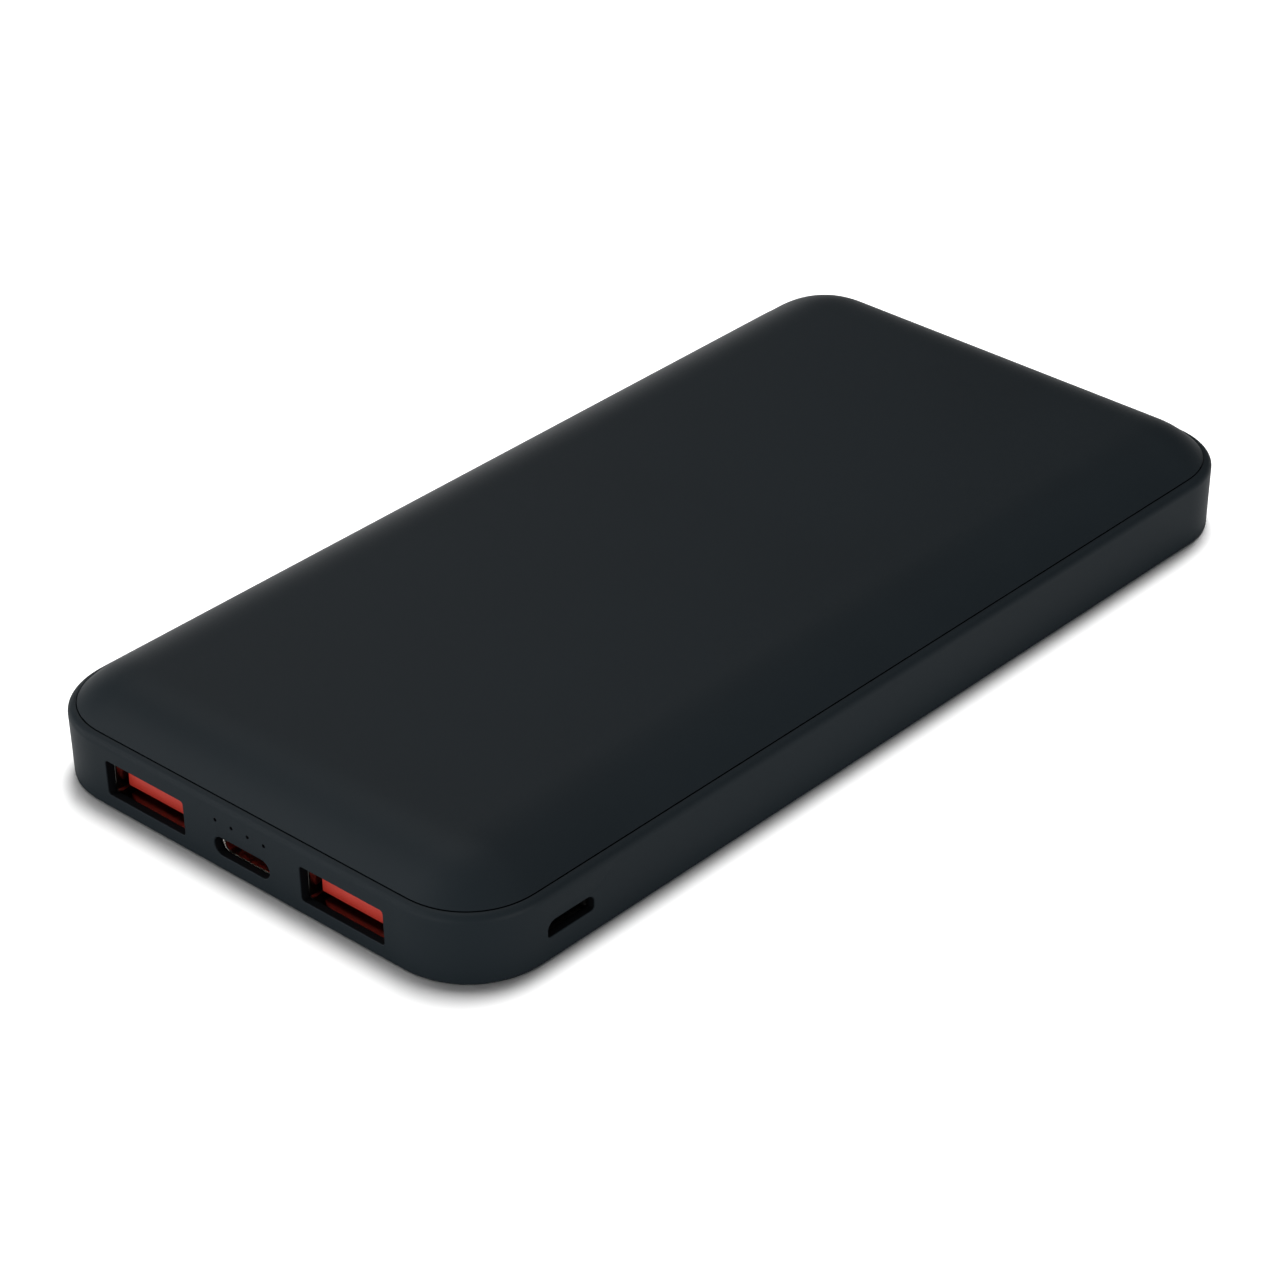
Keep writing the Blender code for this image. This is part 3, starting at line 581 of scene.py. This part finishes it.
# ================================================================ USB-A
def ring_tube(w, h, r, t, cx, cz, y0, y1, n=8, lead=0.0, thin=0.06):
    """Rolled sheet tube. Its mouth is coined thinner over the lead length,
    or has a plain rounded edge when lead is 0. The inside is slot 1."""
    o = rounded(w, h, r, n, 2.0, cx, cz)
    i = rounded(w - 2 * t, h - 2 * t, r - t, n, 2.0, cx, cz)
    if lead:
        rings = [(i, y1), (i, y0 + lead + 0.4)]
        for k in range(0, 6):
            rings.append((offset_outline(i, (t - thin) * k / 5.0),
                          y0 + 0.05 + lead * (1 - k / 5.0)))
        m = offset_outline(i, t - thin)
        rings += [(offset_outline(m, 0.02), y0 + 0.01),
                  (offset_outline(m, thin / 2), y0)]
        k = len(rings) + 1
        rings += [(offset_outline(o, -0.02), y0 + 0.01), (o, y0 + 0.05),
                  (o, y1)]
    else:
        e = t / 2
        mid = offset_outline(o, -e)
        rings = [(i, y1), (i, y0 + 0.6), (i, y0 + e)]
        for k in range(0, 5):
            a = math.pi * k / 4
            rings.append((offset_outline(mid, -math.cos(a) * e * 0.98),
                          y0 + e - e * math.sin(a)))
        k = 5
        rings += [(o, y0 + e + 0.02), (o, y1)]
    # slot 1 covers the inside and, with a lead, the whole rim; the callers give it a
    # darker nickel as painted shade
    idx = [1] * k + [0] * (len(rings) - k)
    return loft(rings, 'Y', closed=True, mats=idx)


def usb_a(idx, cx):
    tag = "usb_a_%d" % idx
    bm = ring_tube(13.1, 5.7, 0.7, 0.30, cx, USB_A_Z, USB_A_Y0, -54.65,
                   lead=1.2)
    # the USB-A shell's inside and mouth rim take the darker nickel, painted shade for
    # the socket's inside
    sh = mesh_object(tag + "_receptacle", bm, [STEEL, SHADE_STEEL])
    ears = bmesh.new()
    for s in (-1, 1):
        for y in (-63.4, -57.4):
            block(cx + s * 6.4, cx + s * 7.95, y, y + 1.8, 6.0, 6.3, ears)
    win = bmesh.new()
    for dx in (-3.0, 3.0):
        for z in (USB_A_Z - 2.85, USB_A_Z + 2.85):
            prism(rounded(2.0, 4.4, 0.25, 3, 2.0, cx + dx, -64.0), 'Z',
                  z - 0.5, z + 0.5, win)
    # pressed spring fingers: they rise from the window's far end and dip in
    fin = bmesh.new()
    for dx in (-3.0, 3.0):
        for s, z in ((1, USB_A_Z - 2.70), (-1, USB_A_Z + 2.70)):
            path = [(-61.7, 0.0), (-62.6, 0.03), (-63.6, 0.24), (-64.6, 0.50),
                    (-65.2, 0.52), (-65.7, 0.34), (-65.95, 0.16)]
            up, dn = [], []
            for y, h in path:
                up.append((y, z + s * (h + 0.09)))
                dn.append((y, z + s * (h - 0.09)))
            loft([(up + dn[::-1], cx + dx - 0.72), (up + dn[::-1], cx + dx + 0.72)],
                 'X', fin)
    solid_ops(sh, [('UNION', ears), ('DIFFERENCE', win), ('UNION', fin)], 40)
    place(sh, "housing", "port_steel", tag + "_shell")

    tz, th, tw = 3.35, 1.84, 11.1
    rings = []
    o = rounded(tw, th, 0.22, 4, 2.0, cx, tz)
    for k in range(0, 5):
        a = math.pi / 2 * k / 4
        rings.append((offset_outline(o, -0.2 * (1 - math.sin(a))),
                      -68.37 + 0.2 * (1 - math.cos(a))))
    rings.append((o, -58.6))
    b = rounded(12.2, 4.8, 0.25, 4, 2.0, cx, USB_A_Z)
    rings += [(b, -58.6), (b, -54.8)]
    ins = mesh_object(tag + "_insulator", loft(rings, 'Y'), [ORANGE])
    sl = bmesh.new()
    for k, dx in enumerate((-3.5, -1.0, 1.0, 3.5)):
        block(cx + dx - 0.65, cx + dx + 0.65, -58.9, -54.3, tz + th / 2 + 0.005,
              4.95, sl)
        y0 = -67.75 if k in (0, 3) else -66.75
        block(cx + dx - 0.62, cx + dx + 0.62, y0, -58.7, tz + th / 2 - 0.03,
              tz + th / 2 + 0.3, sl)
    solid_ops(ins, [('DIFFERENCE', sl)])
    place(ins, "housing", "port_orange", tag + "_tongue")


for i, x in enumerate(USB_A_X):
    usb_a(i + 1, x)

# ================================================================ USB-C
bm = ring_tube(8.94, 3.2, 1.6, 0.30, USB_C_X, USB_C_Z, USB_C_Y0, -62.5, 14)
# the USB-C shell's outside and outer rim take the darker nickel, painted shade that
# keeps its rim dim; its inside takes the USB-C inside nickel, also painted shade
sh = mesh_object("usb_c_receptacle", bm, [SHADE_STEEL, SHADE_STEELC])
ears = bmesh.new()
for s in (-1, 1):
    for y in (-67.4, -64.2):
        block(USB_C_X + s * 4.22, USB_C_X + s * 5.02, y, y + 0.9, 2.9, 4.88, ears)
solid_ops(sh, [('UNION', ears)])
place(sh, "housing", "port_steel", "usb_c_shell")

TY0 = BOX["usb_c_tongue"][0][1]
o = lambda a, b, r: rounded(a, b, r, 6, 2.0, USB_C_X, USB_C_Z)
rings = []
for k in range(0, 5):
    a = math.pi / 2 * k / 4
    rings.append((offset_outline(o(6.69, 0.7, 0.3), -0.17 * (1 - math.sin(a))),
                  TY0 + 0.17 * (1 - math.cos(a))))
rings += [(o(6.69, 0.7, 0.3), -65.6), (o(7.0, 1.2, 0.5), -65.6),
          (o(7.0, 1.2, 0.5), -64.6), (o(8.1, 2.36, 1.1), -64.6),
          (o(8.1, 2.36, 1.1), -62.6)]
ins = mesh_object("usb_c_insulator", loft(rings, 'Y'), [ORANGE, GOLD])
pads = bmesh.new()
for k in range(12):
    x = USB_C_X - 2.75 + 0.5 * k
    y0 = TY0 + (0.5 if k in (0, 3, 8, 11) else 0.9)
    for s in (-1, 1):
        block(x - 0.13, x + 0.13, y0, -66.1, USB_C_Z + s * 0.35 - 0.03,
              USB_C_Z + s * 0.35 + 0.03, pads)
for f in pads.faces:
    f.material_index = 1
tool = raw_object("usb_c_pads_tool", pads)
tool.data.materials.append(ORANGE)
tool.data.materials.append(GOLD)
m = ins.modifiers.new("pads", 'BOOLEAN')
m.operation, m.solver, m.object = 'UNION', 'EXACT', tool
bpy.context.view_layer.update()
dg = bpy.context.evaluated_depsgraph_get()
me = bpy.data.meshes.new_from_object(ins.evaluated_get(dg))
ins.modifiers.clear()
ins.data = me
me.shade_smooth()
me.set_sharp_from_angle(angle=math.radians(32))
bpy.data.objects.remove(tool, do_unlink=True)
place(ins, "housing", "port_orange", "usb_c_tongue")


# ================================================================ micro-USB
def micro_outline(w, h, c, k=0.35):
    p = [(-w / 2, h / 2 - c), (-w / 2 + 0.08 * c, h / 2 - 0.8 * c),
         (-w / 2 + 0.8 * c, h / 2 - 0.08 * c), (-w / 2 + c, h / 2),
         (w / 2 - c, h / 2), (w / 2 - 0.8 * c, h / 2 - 0.08 * c),
         (w / 2 - 0.08 * c, h / 2 - 0.8 * c), (w / 2, h / 2 - c),
         (w / 2, -h / 2 + k), (w / 2 - 0.1 * k, -h / 2 + 0.4 * k),
         (w / 2 - 0.4 * k, -h / 2 + 0.1 * k), (w / 2 - k, -h / 2),
         (-w / 2 + k, -h / 2), (-w / 2 + 0.4 * k, -h / 2 + 0.1 * k),
         (-w / 2 + 0.1 * k, -h / 2 + 0.4 * k), (-w / 2, -h / 2 + k)]
    return [(MICRO_Y + u, MICRO_Z + v) for u, v in p]


X1 = MICRO_X1
rings = [(micro_outline(7.5, 2.5, 1.0), 29.3),
         (micro_outline(7.5, 2.5, 1.0), X1 - 0.70)]
for k in range(1, 5):
    e = 0.30 * (k / 4.0) ** 1.6
    rings.append((micro_outline(7.5 + e, 2.5 + e, 1.0 + 0.02 * k),
                  X1 - 0.70 + 0.16 * k))
rings += [(micro_outline(7.74, 2.74, 1.07), X1 - 0.01),
          (micro_outline(7.66, 2.66, 1.05), X1),
          (micro_outline(7.40, 2.40, 0.98), X1),
          (micro_outline(7.32, 2.32, 0.96), X1 - 0.02)]
for k in range(3, -1, -1):
    e = 0.38 * (k / 4.0) ** 1.6
    rings.append((micro_outline(6.9 + e, 1.9 + e, 0.85 + 0.02 * k),
                  X1 - 0.80 + 0.18 * k))
rings.append((micro_outline(6.9, 1.9, 0.85), 29.3))
# the micro-USB shell's flared mouth, rim and inside take the near-black nickel,
# painted shade; its outside keeps the plain nickel
sh = mesh_object("micro_usb_receptacle",
                 loft(rings, 'X', closed=True,
                      mats=[0] * 2 + [1] * (len(rings) - 3) + [0]),
                 [STEEL, SHADE_STEELX], 40)
place(sh, "housing", "port_steel", "micro_usb_shell")
tz = MICRO_Z - 0.18
o = lambda a, b, r, z: rounded(a, b, r, 4, 2.0, MICRO_Y, z)
ins = mesh_object("micro_usb_insulator", loft([
    (o(4.5, 0.3, 0.1, tz), X1 - 0.75), (o(4.85, 0.5, 0.15, tz), X1 - 0.83),
    (o(5.0, 0.6, 0.18, tz), X1 - 1.0), (o(5.0, 0.6, 0.18, tz), 31.0),
    (o(5.6, 1.5, 0.2, MICRO_Z - 0.12), 31.0),
    (o(5.6, 1.5, 0.2, MICRO_Z - 0.12), 29.4)], 'X'), [INSIDE])
place(ins, "housing", "black_insulator", "micro_usb_tongue")

# ================================================================ power key
cap = rounded(8.3, 2.5, 1.25, 12, 2.0, KEY_Y, KEY_Z)
rings = [(offset_outline(cap, -1.05), -35.60), (offset_outline(cap, -0.8), -35.62),
         (offset_outline(cap, -0.5), -35.68), (offset_outline(cap, -0.3), -35.715),
         (offset_outline(cap, -0.16), -35.70), (offset_outline(cap, -0.05), -35.62),
         (cap, -35.48), (cap, -33.6)]
fl = rounded(10.0, 3.8, 1.9, 12, 2.0, KEY_Y, KEY_Z)
rings += [(fl, -33.6), (fl, -32.95)]
key = mesh_object("side_key", loft(rings, 'X'), [KEYM])
place(key, "key", "key_black", "power_key")

# ================================================================ internals
def span(name):
    (x0, y0, z0), (x1, y1, z1) = BOX[name]
    return x0, x1, y0, y1, z0, z1


def tint(bm, index, start=0):
    bm.faces.ensure_lookup_table()
    for f in bm.faces[start:]:
        f.material_index = index
    return len(bm.faces)


def plain(name, base, r0, r1, spread=0.08, grain=1500.0, bump=0.1,
          metallic=0.0, stretch=None):
    m = Mat(name)
    m.set("Metallic", metallic)
    a = m.noise(140.0, 3.0, 0.6)
    f = m.noise(grain, 2.0, 0.6, stretch)
    m.colour(a, [(0.3, tuple(c * (1 - spread) for c in base)),
                 (0.7, tuple(min(c * (1 + spread), 1.0) for c in base))])
    m.rough(m.add(a, f, 0.5, 0.5), r0, r1)
    m.bump(f, bump, 0.02)
    return m.m


TIN = plain("solder_tin", (0.62, 0.62, 0.61), 0.22, 0.40, 0.06, 1600, 0.15, 1.0)
EPOXY = plain("epoxy_black", (0.012, 0.012, 0.013), 0.40, 0.55, 0.15, 3600, 0.2)
FERR = plain("pressed_powder", (0.045, 0.045, 0.048), 0.50, 0.66, 0.22, 2600,
             0.5)
CERAM = plain("fired_ceramic", (0.36, 0.23, 0.12), 0.38, 0.50, 0.10, 2800, 0.15)
ZINC = plain("zinc_steel", (0.50, 0.50, 0.52), 0.25, 0.38, 0.05, 1800, 0.08, 1.0)
WHITE = plain("led_housing", (0.78, 0.78, 0.75), 0.30, 0.42, 0.04, 2400, 0.1)
PHOS = plain("led_phosphor", (0.85, 0.62, 0.10), 0.35, 0.5, 0.10, 3000, 0.2)
MASK = plain("solder_mask", (0.012, 0.085, 0.040), 0.26, 0.38, 0.22, 900, 0.12)


# board screws: pan head with a cross recess and ridges for the thread
for k, (bx, by) in enumerate(BOSSES):
    name = "board_screw_%d" % (k + 1)
    x0, x1, y0, y1, z0, z1 = span(name)
    zh = z1 - 0.98
    rings = [(circle(0.22, 20, bx, by), z0), (circle(0.34, 20, bx, by), z0 + 0.1)]
    z = z0 + 0.25
    while z < zh - 0.5:
        rings += [(circle(0.49, 20, bx, by), z), (circle(0.62, 20, bx, by), z + 0.14),
                  (circle(0.62, 20, bx, by), z + 0.18),
                  (circle(0.49, 20, bx, by), z + 0.32)]
        z += 0.42
    rings += [(circle(0.55, 20, bx, by), zh - 0.1), (circle(0.6, 20, bx, by), zh),
              (circle(1.50, 20, bx, by), zh), (circle(1.55, 20, bx, by), zh + 0.06),
              (circle(1.55, 20, bx, by), zh + 0.40)]
    for j in range(1, 6):
        t = math.pi / 2 * j / 6
        rings.append((circle(0.55 + 1.0 * math.cos(t), 20, bx, by),
                      zh + 0.40 + 0.56 * math.sin(t)))
    rings.append((circle(0.4, 20, bx, by), z1 - 0.01))
    sc = mesh_object("cross_screw_%d" % (k + 1), loft(rings), [ZINC])
    a, b = 0.86, 0.17
    cross = [(a, -b), (a, b), (b, b), (b, a), (-b, a), (-b, b), (-a, b),
             (-a, -b), (-b, -b), (-b, -a), (b, -a), (b, -b)]
    deep = loft([([(bx + u * 0.5, by + v * 0.5) for u, v in cross], z1 - 0.62),
                 ([(bx + u, by + v) for u, v in cross], z1 + 0.1)])
    solid_ops(sc, [('DIFFERENCE', deep)])
    place(sc, "housing", "screw_steel", name)

# boost inductor: pressed block, tin strips folded round its two ends
x0, x1, y0, y1, z0, z1 = span("boost_inductor")
bm = soft_box(x0 + 0.12, x1 - 0.12, y0, y1, z0, z1 - 0.06, 0.9, 6, 0.22, 4)
n = tint(bm, 0)
ym = (y0 + y1) / 2
for sx, xe in ((1, x0), (-1, x1)):
    path = [(xe, z0 + 0.9), (xe + sx * 0.14, z0 + 0.9),
            (xe + sx * 0.14, z1 - 0.10), (xe + sx * 1.5, z1 - 0.10),
            (xe + sx * 1.5, z1), (xe, z1)]
    loft([([(u, v) for u, v in path], ym - 1.6),
          ([(u, v) for u, v in path], ym + 1.6)],
         lambda u, v, d: (u, d, v), bm)
tint(bm, 1, n)
ob = mesh_object("pressed_inductor", bm, [FERR, TIN])
place(ob, "housing", "ferrite", "boost_inductor")


def chip(name, piece, pads=(4, 4), gull=False, slot="chip_black"):
    """Moulded package hanging under the board, with its metal lands."""
    x0, x1, y0, y1, z0, z1 = span(name)
    cx, cy = (x0 + x1) / 2, (y0 + y1) / 2
    if gull:
        bm = soft_box(x0, x1, cy - 0.8, cy + 0.8, z0, z1 - 0.12, 0.08, 2, 0.06,
                      2)
    else:
        bm = soft_box(x0 + 0.05, x1 - 0.05, y0 + 0.05, y1 - 0.05, z0, z1 - 0.04,
                      0.06, 2, 0.05, 2)
    ob = mesh_object(piece, bm, [EPOXY, TIN], 28)
    dot = prism(circle(0.18, 16, x0 + 0.6, cy - 0.35 if gull else y0 + 0.6), 'Z',
                z0 - 0.2, z0 + 0.06)
    bm = bmesh.new()
    if gull:
        zm = (z0 + z1) / 2
        for k in range(3):
            x = cx + (k - 1) * 0.95
            for s, ye in ((-1, y0), (1, y1)):
                ya = cy + s * 0.74
                path = [(ya, zm - 0.08), (ya + s * 0.28, zm - 0.08),
                        (ya + s * 0.40, z1 - 0.14), (ye, z1 - 0.14), (ye, z1),
                        (ya + s * 0.28, z1), (ya + s * 0.18, zm + 0.08),
                        (ya, zm + 0.08)]
                loft([(path, x - 0.2), (path, x + 0.2)],
                     lambda u, v, d: (d, u, v), bm)
    else:
        for k in range(pads[0]):
            x = cx + (k - (pads[0] - 1) / 2) * (x1 - x0 - 0.8) / max(pads[0] - 1, 1)
            for s, ye in ((-1, y0), (1, y1)):
                block(x - 0.13, x + 0.13, ye, ye - s * 0.24, z1 - 0.24, z1, bm)
        for k in range(pads[1]):
            y = cy + (k - (pads[1] - 1) / 2) * (y1 - y0 - 0.8) / max(pads[1] - 1, 1)
            for s, xe in ((-1, x0), (1, x1)):
                block(xe, xe - s * 0.24, y - 0.13, y + 0.13, z1 - 0.24, z1, bm)
    tint(bm, 1)
    solid_ops(ob, [('DIFFERENCE', dot), ('UNION', bm)], 28)
    place(ob, "housing", slot, name)


chip("power_ic", "power_controller", (8, 8))
chip("protection_ic", "cell_guard", gull=True)
chip("output_mosfet_1", "output_switch_1", (4, 0))
chip("output_mosfet_2", "output_switch_2", (4, 0))

# chip capacitors and the sense resistor: bodies with dipped end caps
for name, piece, ax, body, slot in (
        [("ceramic_capacitor_%d" % k, "chip_capacitor_%d" % k, 'Y', CERAM,
          "ceramic_tan") for k in (1, 2, 3, 4)]
        + [("sense_resistor", "chip_resistor", 'X', EPOXY, "chip_black")]):
    x0, x1, y0, y1, z0, z1 = span(name)
    if ax == 'Y':
        lo, hi, w, cu = y0, y1, x1 - x0, (x0 + x1) / 2
        cap = 0.55
    else:
        lo, hi, w, cu = x0, x1, y1 - y0, (y0 + y1) / 2
        cap = 0.45
    h, cz = z1 - z0, (z0 + z1) / 2
    big = rounded(w, h, 0.14, 3, 2.0, cu, cz)
    small = rounded(w - 0.12, h - 0.10, 0.10, 3, 2.0, cu, cz)
    rings = [(offset_outline(big, -0.10), lo), (offset_outline(big, -0.03), lo + 0.03),
             (big, lo + 0.10), (big, lo + cap - 0.04), (small, lo + cap),
             (small, hi - cap), (big, hi - cap + 0.04), (big, hi - 0.10),
             (offset_outline(big, -0.03), hi - 0.03), (offset_outline(big, -0.10), hi)]
    ob = mesh_object(piece, loft(rings, ax, mats=[1, 1, 1, 1, 0, 1, 1, 1, 1]),
                     [body, TIN], 28)
    place(ob, "housing", slot, name)

# charge lights: white side-firing housings with the phosphor to the guide
for k in range(4):
    name = "charge_light_%d" % (k + 1)
    x0, x1, y0, y1, z0, z1 = span(name)
    cx, cz = (x0 + x1) / 2, (z0 + z1) / 2
    bm = soft_box(x0 + 0.22, x1 - 0.22, y0, y1, z0, z1, 0.06, 2, 0.05, 2)
    n = tint(bm, 0)
    for s, xe in ((-1, x0), (1, x1)):
        block(xe, xe - s * 0.26, y0 + 0.25, y1, z0, z1 - 0.25, bm)
    tint(bm, 1, n)
    ob = mesh_object("side_light_%d" % (k + 1), bm, [WHITE, TIN, PHOS], 28)
    well = prism(rounded(0.86, 0.56, 0.1, 3, 2.0, cx, cz), 'Y', y0 - 0.2,
                 y0 + 0.14)
    tint(well, 2)
    solid_ops(ob, [('DIFFERENCE', well)], 28)
    place(ob, "housing", "led_white", name)

# pouch cell: crowned wrap, side seals folded up, crimped front seal
x0, x1, y0, y1, z0, z1 = span("battery_cell")
yc0 = -42.2
cz, hh = (z0 + z1) / 2, z1 - z0
w, l = x1 - x0 - 0.9, y1 - yc0
cy = (y1 + yc0) / 2
rings = []
for k in range(0, 9):
    t = math.pi / 2 * k / 8
    rings.append((rounded(w - 4.4 * (1 - math.sin(t)), l - 4.4 * (1 - math.sin(t)),
                          3.0, 6, 2.0, 0, cy, (3, 6, 2.0)),
                  z0 + 0.10 + 2.0 * (1 - math.cos(t)) * 0.9))
top = []
for o, z in rings:
    top.append((o, z0 + z1 - z))
crown = [(rounded(w - 12, l - 12, 3.0, 6, 2.0, 0, cy, (3, 6, 2.0)), z0 + 0.02),
         (rounded(w - 26, l - 26, 3.0, 6, 2.0, 0, cy, (3, 6, 2.0)), z0)]
full = crown[::-1] + rings + top[::-1] + [(o, z0 + z1 - z) for o, z in crown]
cell = mesh_object("pouch_cell", loft(full), [], 40)
FOIL = Mat("pouch_foil")
FOIL.set("Metallic", 0.85)
fa = FOIL.noise(70.0, 5.0, 0.6, None, 0.4)
ff = FOIL.noise(900.0, 3.0, 0.6)
FOIL.colour(fa, [(0.3, (0.58, 0.59, 0.61)), (0.7, (0.70, 0.71, 0.73))])
FOIL.rough(FOIL.add(fa, ff, 0.6, 0.4), 0.26, 0.44)
FOIL.bump(FOIL.add(fa, ff, 0.8, 0.2), 0.55, 0.08)
cell.data.materials.append(FOIL.m)
bm = bmesh.new()
for s in (-1, 1):
    xs = s * (x1 - 0.14)
    prof = []
    for j in range(0, 7):
        v = cz - 0.8 + 2.3 * j / 6
        prof.append((xs + s * 0.08 * math.cos(j * 1.6), v))
    loft([([(a, b) for a, b in prof]
           + [(a - s * 0.62 if i in (0, 1) else a - s * 0.30, b)
              for i, (a, b) in reversed(list(enumerate(prof)))], d)
          for d in (yc0 + 3.0, yc0 + 20.0, cy, y1 - 20.0, y1 - 3.0)],
         lambda u, v, d: (u, d, v), bm)
solid_ops(cell, [('UNION', bm)], 40)
seal = bmesh.new()
rows = []
for j in range(0, 19):
    y = y0 + (yc0 + 0.9 - y0) * j / 18
    rows.append((y, 0.045 * math.sin(j * math.pi)))
lo = [(y, cz - 0.25 + (0.05 if j % 2 else 0.0)) for j, (y, q) in enumerate(rows)]
hi = [(y, cz + 0.15 - (0.05 if j % 2 else 0.0)) for j, (y, q) in enumerate(rows)]
prof = hi + lo[::-1]
loft([(prof, -27.0), (prof, -9.0), (prof, 9.0), (prof, 27.0)],
     lambda u, v, d: (d, u, v), seal)
solid_ops(cell, [('UNION', seal)], 40)
place(cell, "housing", "cell_pouch", "battery_cell")

# ================================================================ carried over
carry = {
    "board_green": MASK,
    "guide_clear": plain("frosted_clear", (0.78, 0.80, 0.82), 0.25, 0.4),
    "chip_black": EPOXY,
    "tab_aluminium": plain("tab_aluminium", (0.77, 0.78, 0.80), 0.28, 0.4,
                           0.04, 900, 0.1, 1.0, (1, 0.1, 1)),
    "tab_nickel": plain("tab_nickel", (0.62, 0.60, 0.56), 0.28, 0.4, 0.04,
                        900, 0.1, 1.0, (1, 0.1, 1)),
    "amber_tape": plain("polyimide_film", (0.48, 0.22, 0.03), 0.18, 0.3),
    "adhesive_white": plain("foam_tape", (0.70, 0.70, 0.67), 0.6, 0.8),
    "foam_grey": plain("closed_cell_foam", (0.085, 0.085, 0.09), 0.8, 0.95,
                       0.12, 1100, 0.6),
    "wire_yellow": plain("wire_yellow", (0.70, 0.46, 0.03), 0.35, 0.5),
    "contact_gold": GOLD,
    "black_insulator": INSIDE,
    "switch_steel": STEEL,
}
slot_of = {s["node"]: s["material_slot"] for s in frame["record"]["subparts"]}
for name, ob in frame["nodes"].items():
    mat = carry.get(slot_of.get(name))
    if mat is not None:
        ob.data.materials.clear()
        ob.data.materials.append(mat)

# ================================================================ stage
bm = bmesh.new()
S = 3000.0
vs = [bm.verts.new((x, y, -0.02)) for x, y in ((-S, -S), (S, -S), (S, S), (-S, S))]
bm.faces.new(vs)
fm = Mat("studio_floor")
fm.set("Roughness", 0.9)
fm.set("Specular IOR Level", 0.0)
fn = fm.noise(3.0, 2.0)
fm.colour(fn, [(0.3, (0.86, 0.86, 0.86)), (0.7, (0.88, 0.88, 0.88))])
floor = mesh_object("studio_floor", bm, [fm.m], 0)


def area(name, loc, aim, size, power, color=(1, 1, 1), sy=None):
    l = bpy.data.lights.new(name, 'AREA')
    l.energy = power
    l.color = color
    l.shape = 'RECTANGLE'
    l.size = size
    l.size_y = sy or size
    ob = bpy.data.objects.new(name, l)
    ob.location = loc
    d = Vector(aim) - Vector(loc)
    ob.rotation_euler = d.to_track_quat('-Z', 'Y').to_euler()
    bpy.context.scene.collection.objects.link(ob)
    return ob


def panel(name, az, el, size, power, sy=None, dist=1.4):
    """Soft panel at a compass angle (from +X towards +Y) and height angle."""
    a, e = math.radians(az), math.radians(el)
    loc = (dist * math.cos(a) * math.cos(e), dist * math.sin(a) * math.cos(e),
           dist * math.sin(e))
    return area(name, loc, (0, 0, 0.005), size, power, (1, 1, 1), sy)


def flags(name, *objects):
    """Light linking set that keeps a panel's light off these objects."""
    c = bpy.data.collections.new(name)
    for ob in objects:
        c.objects.link(ob)
    for item in c.collection_objects:
        item.light_linking.link_state = 'EXCLUDE'
    return c


sockets = [ob for ob in bpy.context.scene.objects
           if ob.name.startswith(("usb_", "micro_usb_"))]
# the case and the floor have their own panels: the floor's set the narrow
# contact shadow, and the case's strips stay out of the sockets
off_floor = flags("off_floor", floor)
off_both = flags("off_floor_and_sockets", floor, *sockets)
for args in (("back_left_high", 157, 60, 0.7, 19.1),
             ("back_right_high", 22, 60, 0.7, 2.8),
             ("back_high", 67, 60, 0.7, 3.8),
             ("front_low", 270, 22, 0.9, 2.6, 0.5)):
    panel(*args).light_linking.receiver_collection = off_floor
for args in (("front_left_mid", 228, 40, 0.6, 19.0, 0.5),
             ("front_left_strip", 215, 6, 0.9, 12.0, 0.25),
             ("front_rim_strip", 270, 6, 0.9, 24.0, 0.25),
             ("back_rim_strip", 150, 6, 0.9, 2.9, 0.25),
             ("back_edge_strip", 125, 6, 0.9, 0.4, 0.25),
             ("right_strip", 0, 6, 0.9, 31.1, 0.25)):
    panel(*args).light_linking.receiver_collection = off_both
only_floor = bpy.data.collections.new("only_floor")
only_floor.objects.link(floor)
for args in (("floor_panel_1", 120, 55, 0.7, 19.1),
             ("floor_panel_2", 120, 78, 0.5, 15.3),
             ("floor_panel_3", 170, 75, 0.7, 5.6),
             ("floor_panel_4", 270, 22, 0.9, 2.2)):
    panel(*args).light_linking.receiver_collection = only_floor

w = bpy.data.worlds.new("studio")
bpy.context.scene.world = w
w.use_nodes = True
w.node_tree.nodes["Background"].inputs["Color"].default_value = (1, 1, 1, 1)
w.node_tree.nodes["Background"].inputs["Strength"].default_value = 0.1
bpy.context.scene.view_settings.view_transform = 'Standard'

# ================================================================ camera
AZ, EL, RO = math.radians(42.508), math.radians(31.874), math.radians(-0.650)
DIST, TX, TY, FPX = 514.3, -3.200, -0.678, 4181.7
R = Vector((math.cos(AZ), math.sin(AZ), 0))
F = Vector((-math.sin(AZ) * math.cos(EL), math.cos(AZ) * math.cos(EL),
            -math.sin(EL)))
U = R.cross(F)
R2 = R * math.cos(RO) + U * math.sin(RO)
U2 = -R * math.sin(RO) + U * math.cos(RO)
C = (-F * DIST + R2 * TX + U2 * TY) * MM
cam = bpy.data.cameras.new("camera")
cam.sensor_width = 36.0
cam.lens = FPX * 36.0 / 1280.0
cam.clip_start, cam.clip_end = 0.02, 20.0
co = bpy.data.objects.new("camera", cam)
M = Matrix((R2, U2, -F)).transposed().to_4x4()
M.translation = C
co.matrix_world = M
bpy.context.scene.collection.objects.link(co)
bpy.context.scene.camera = co
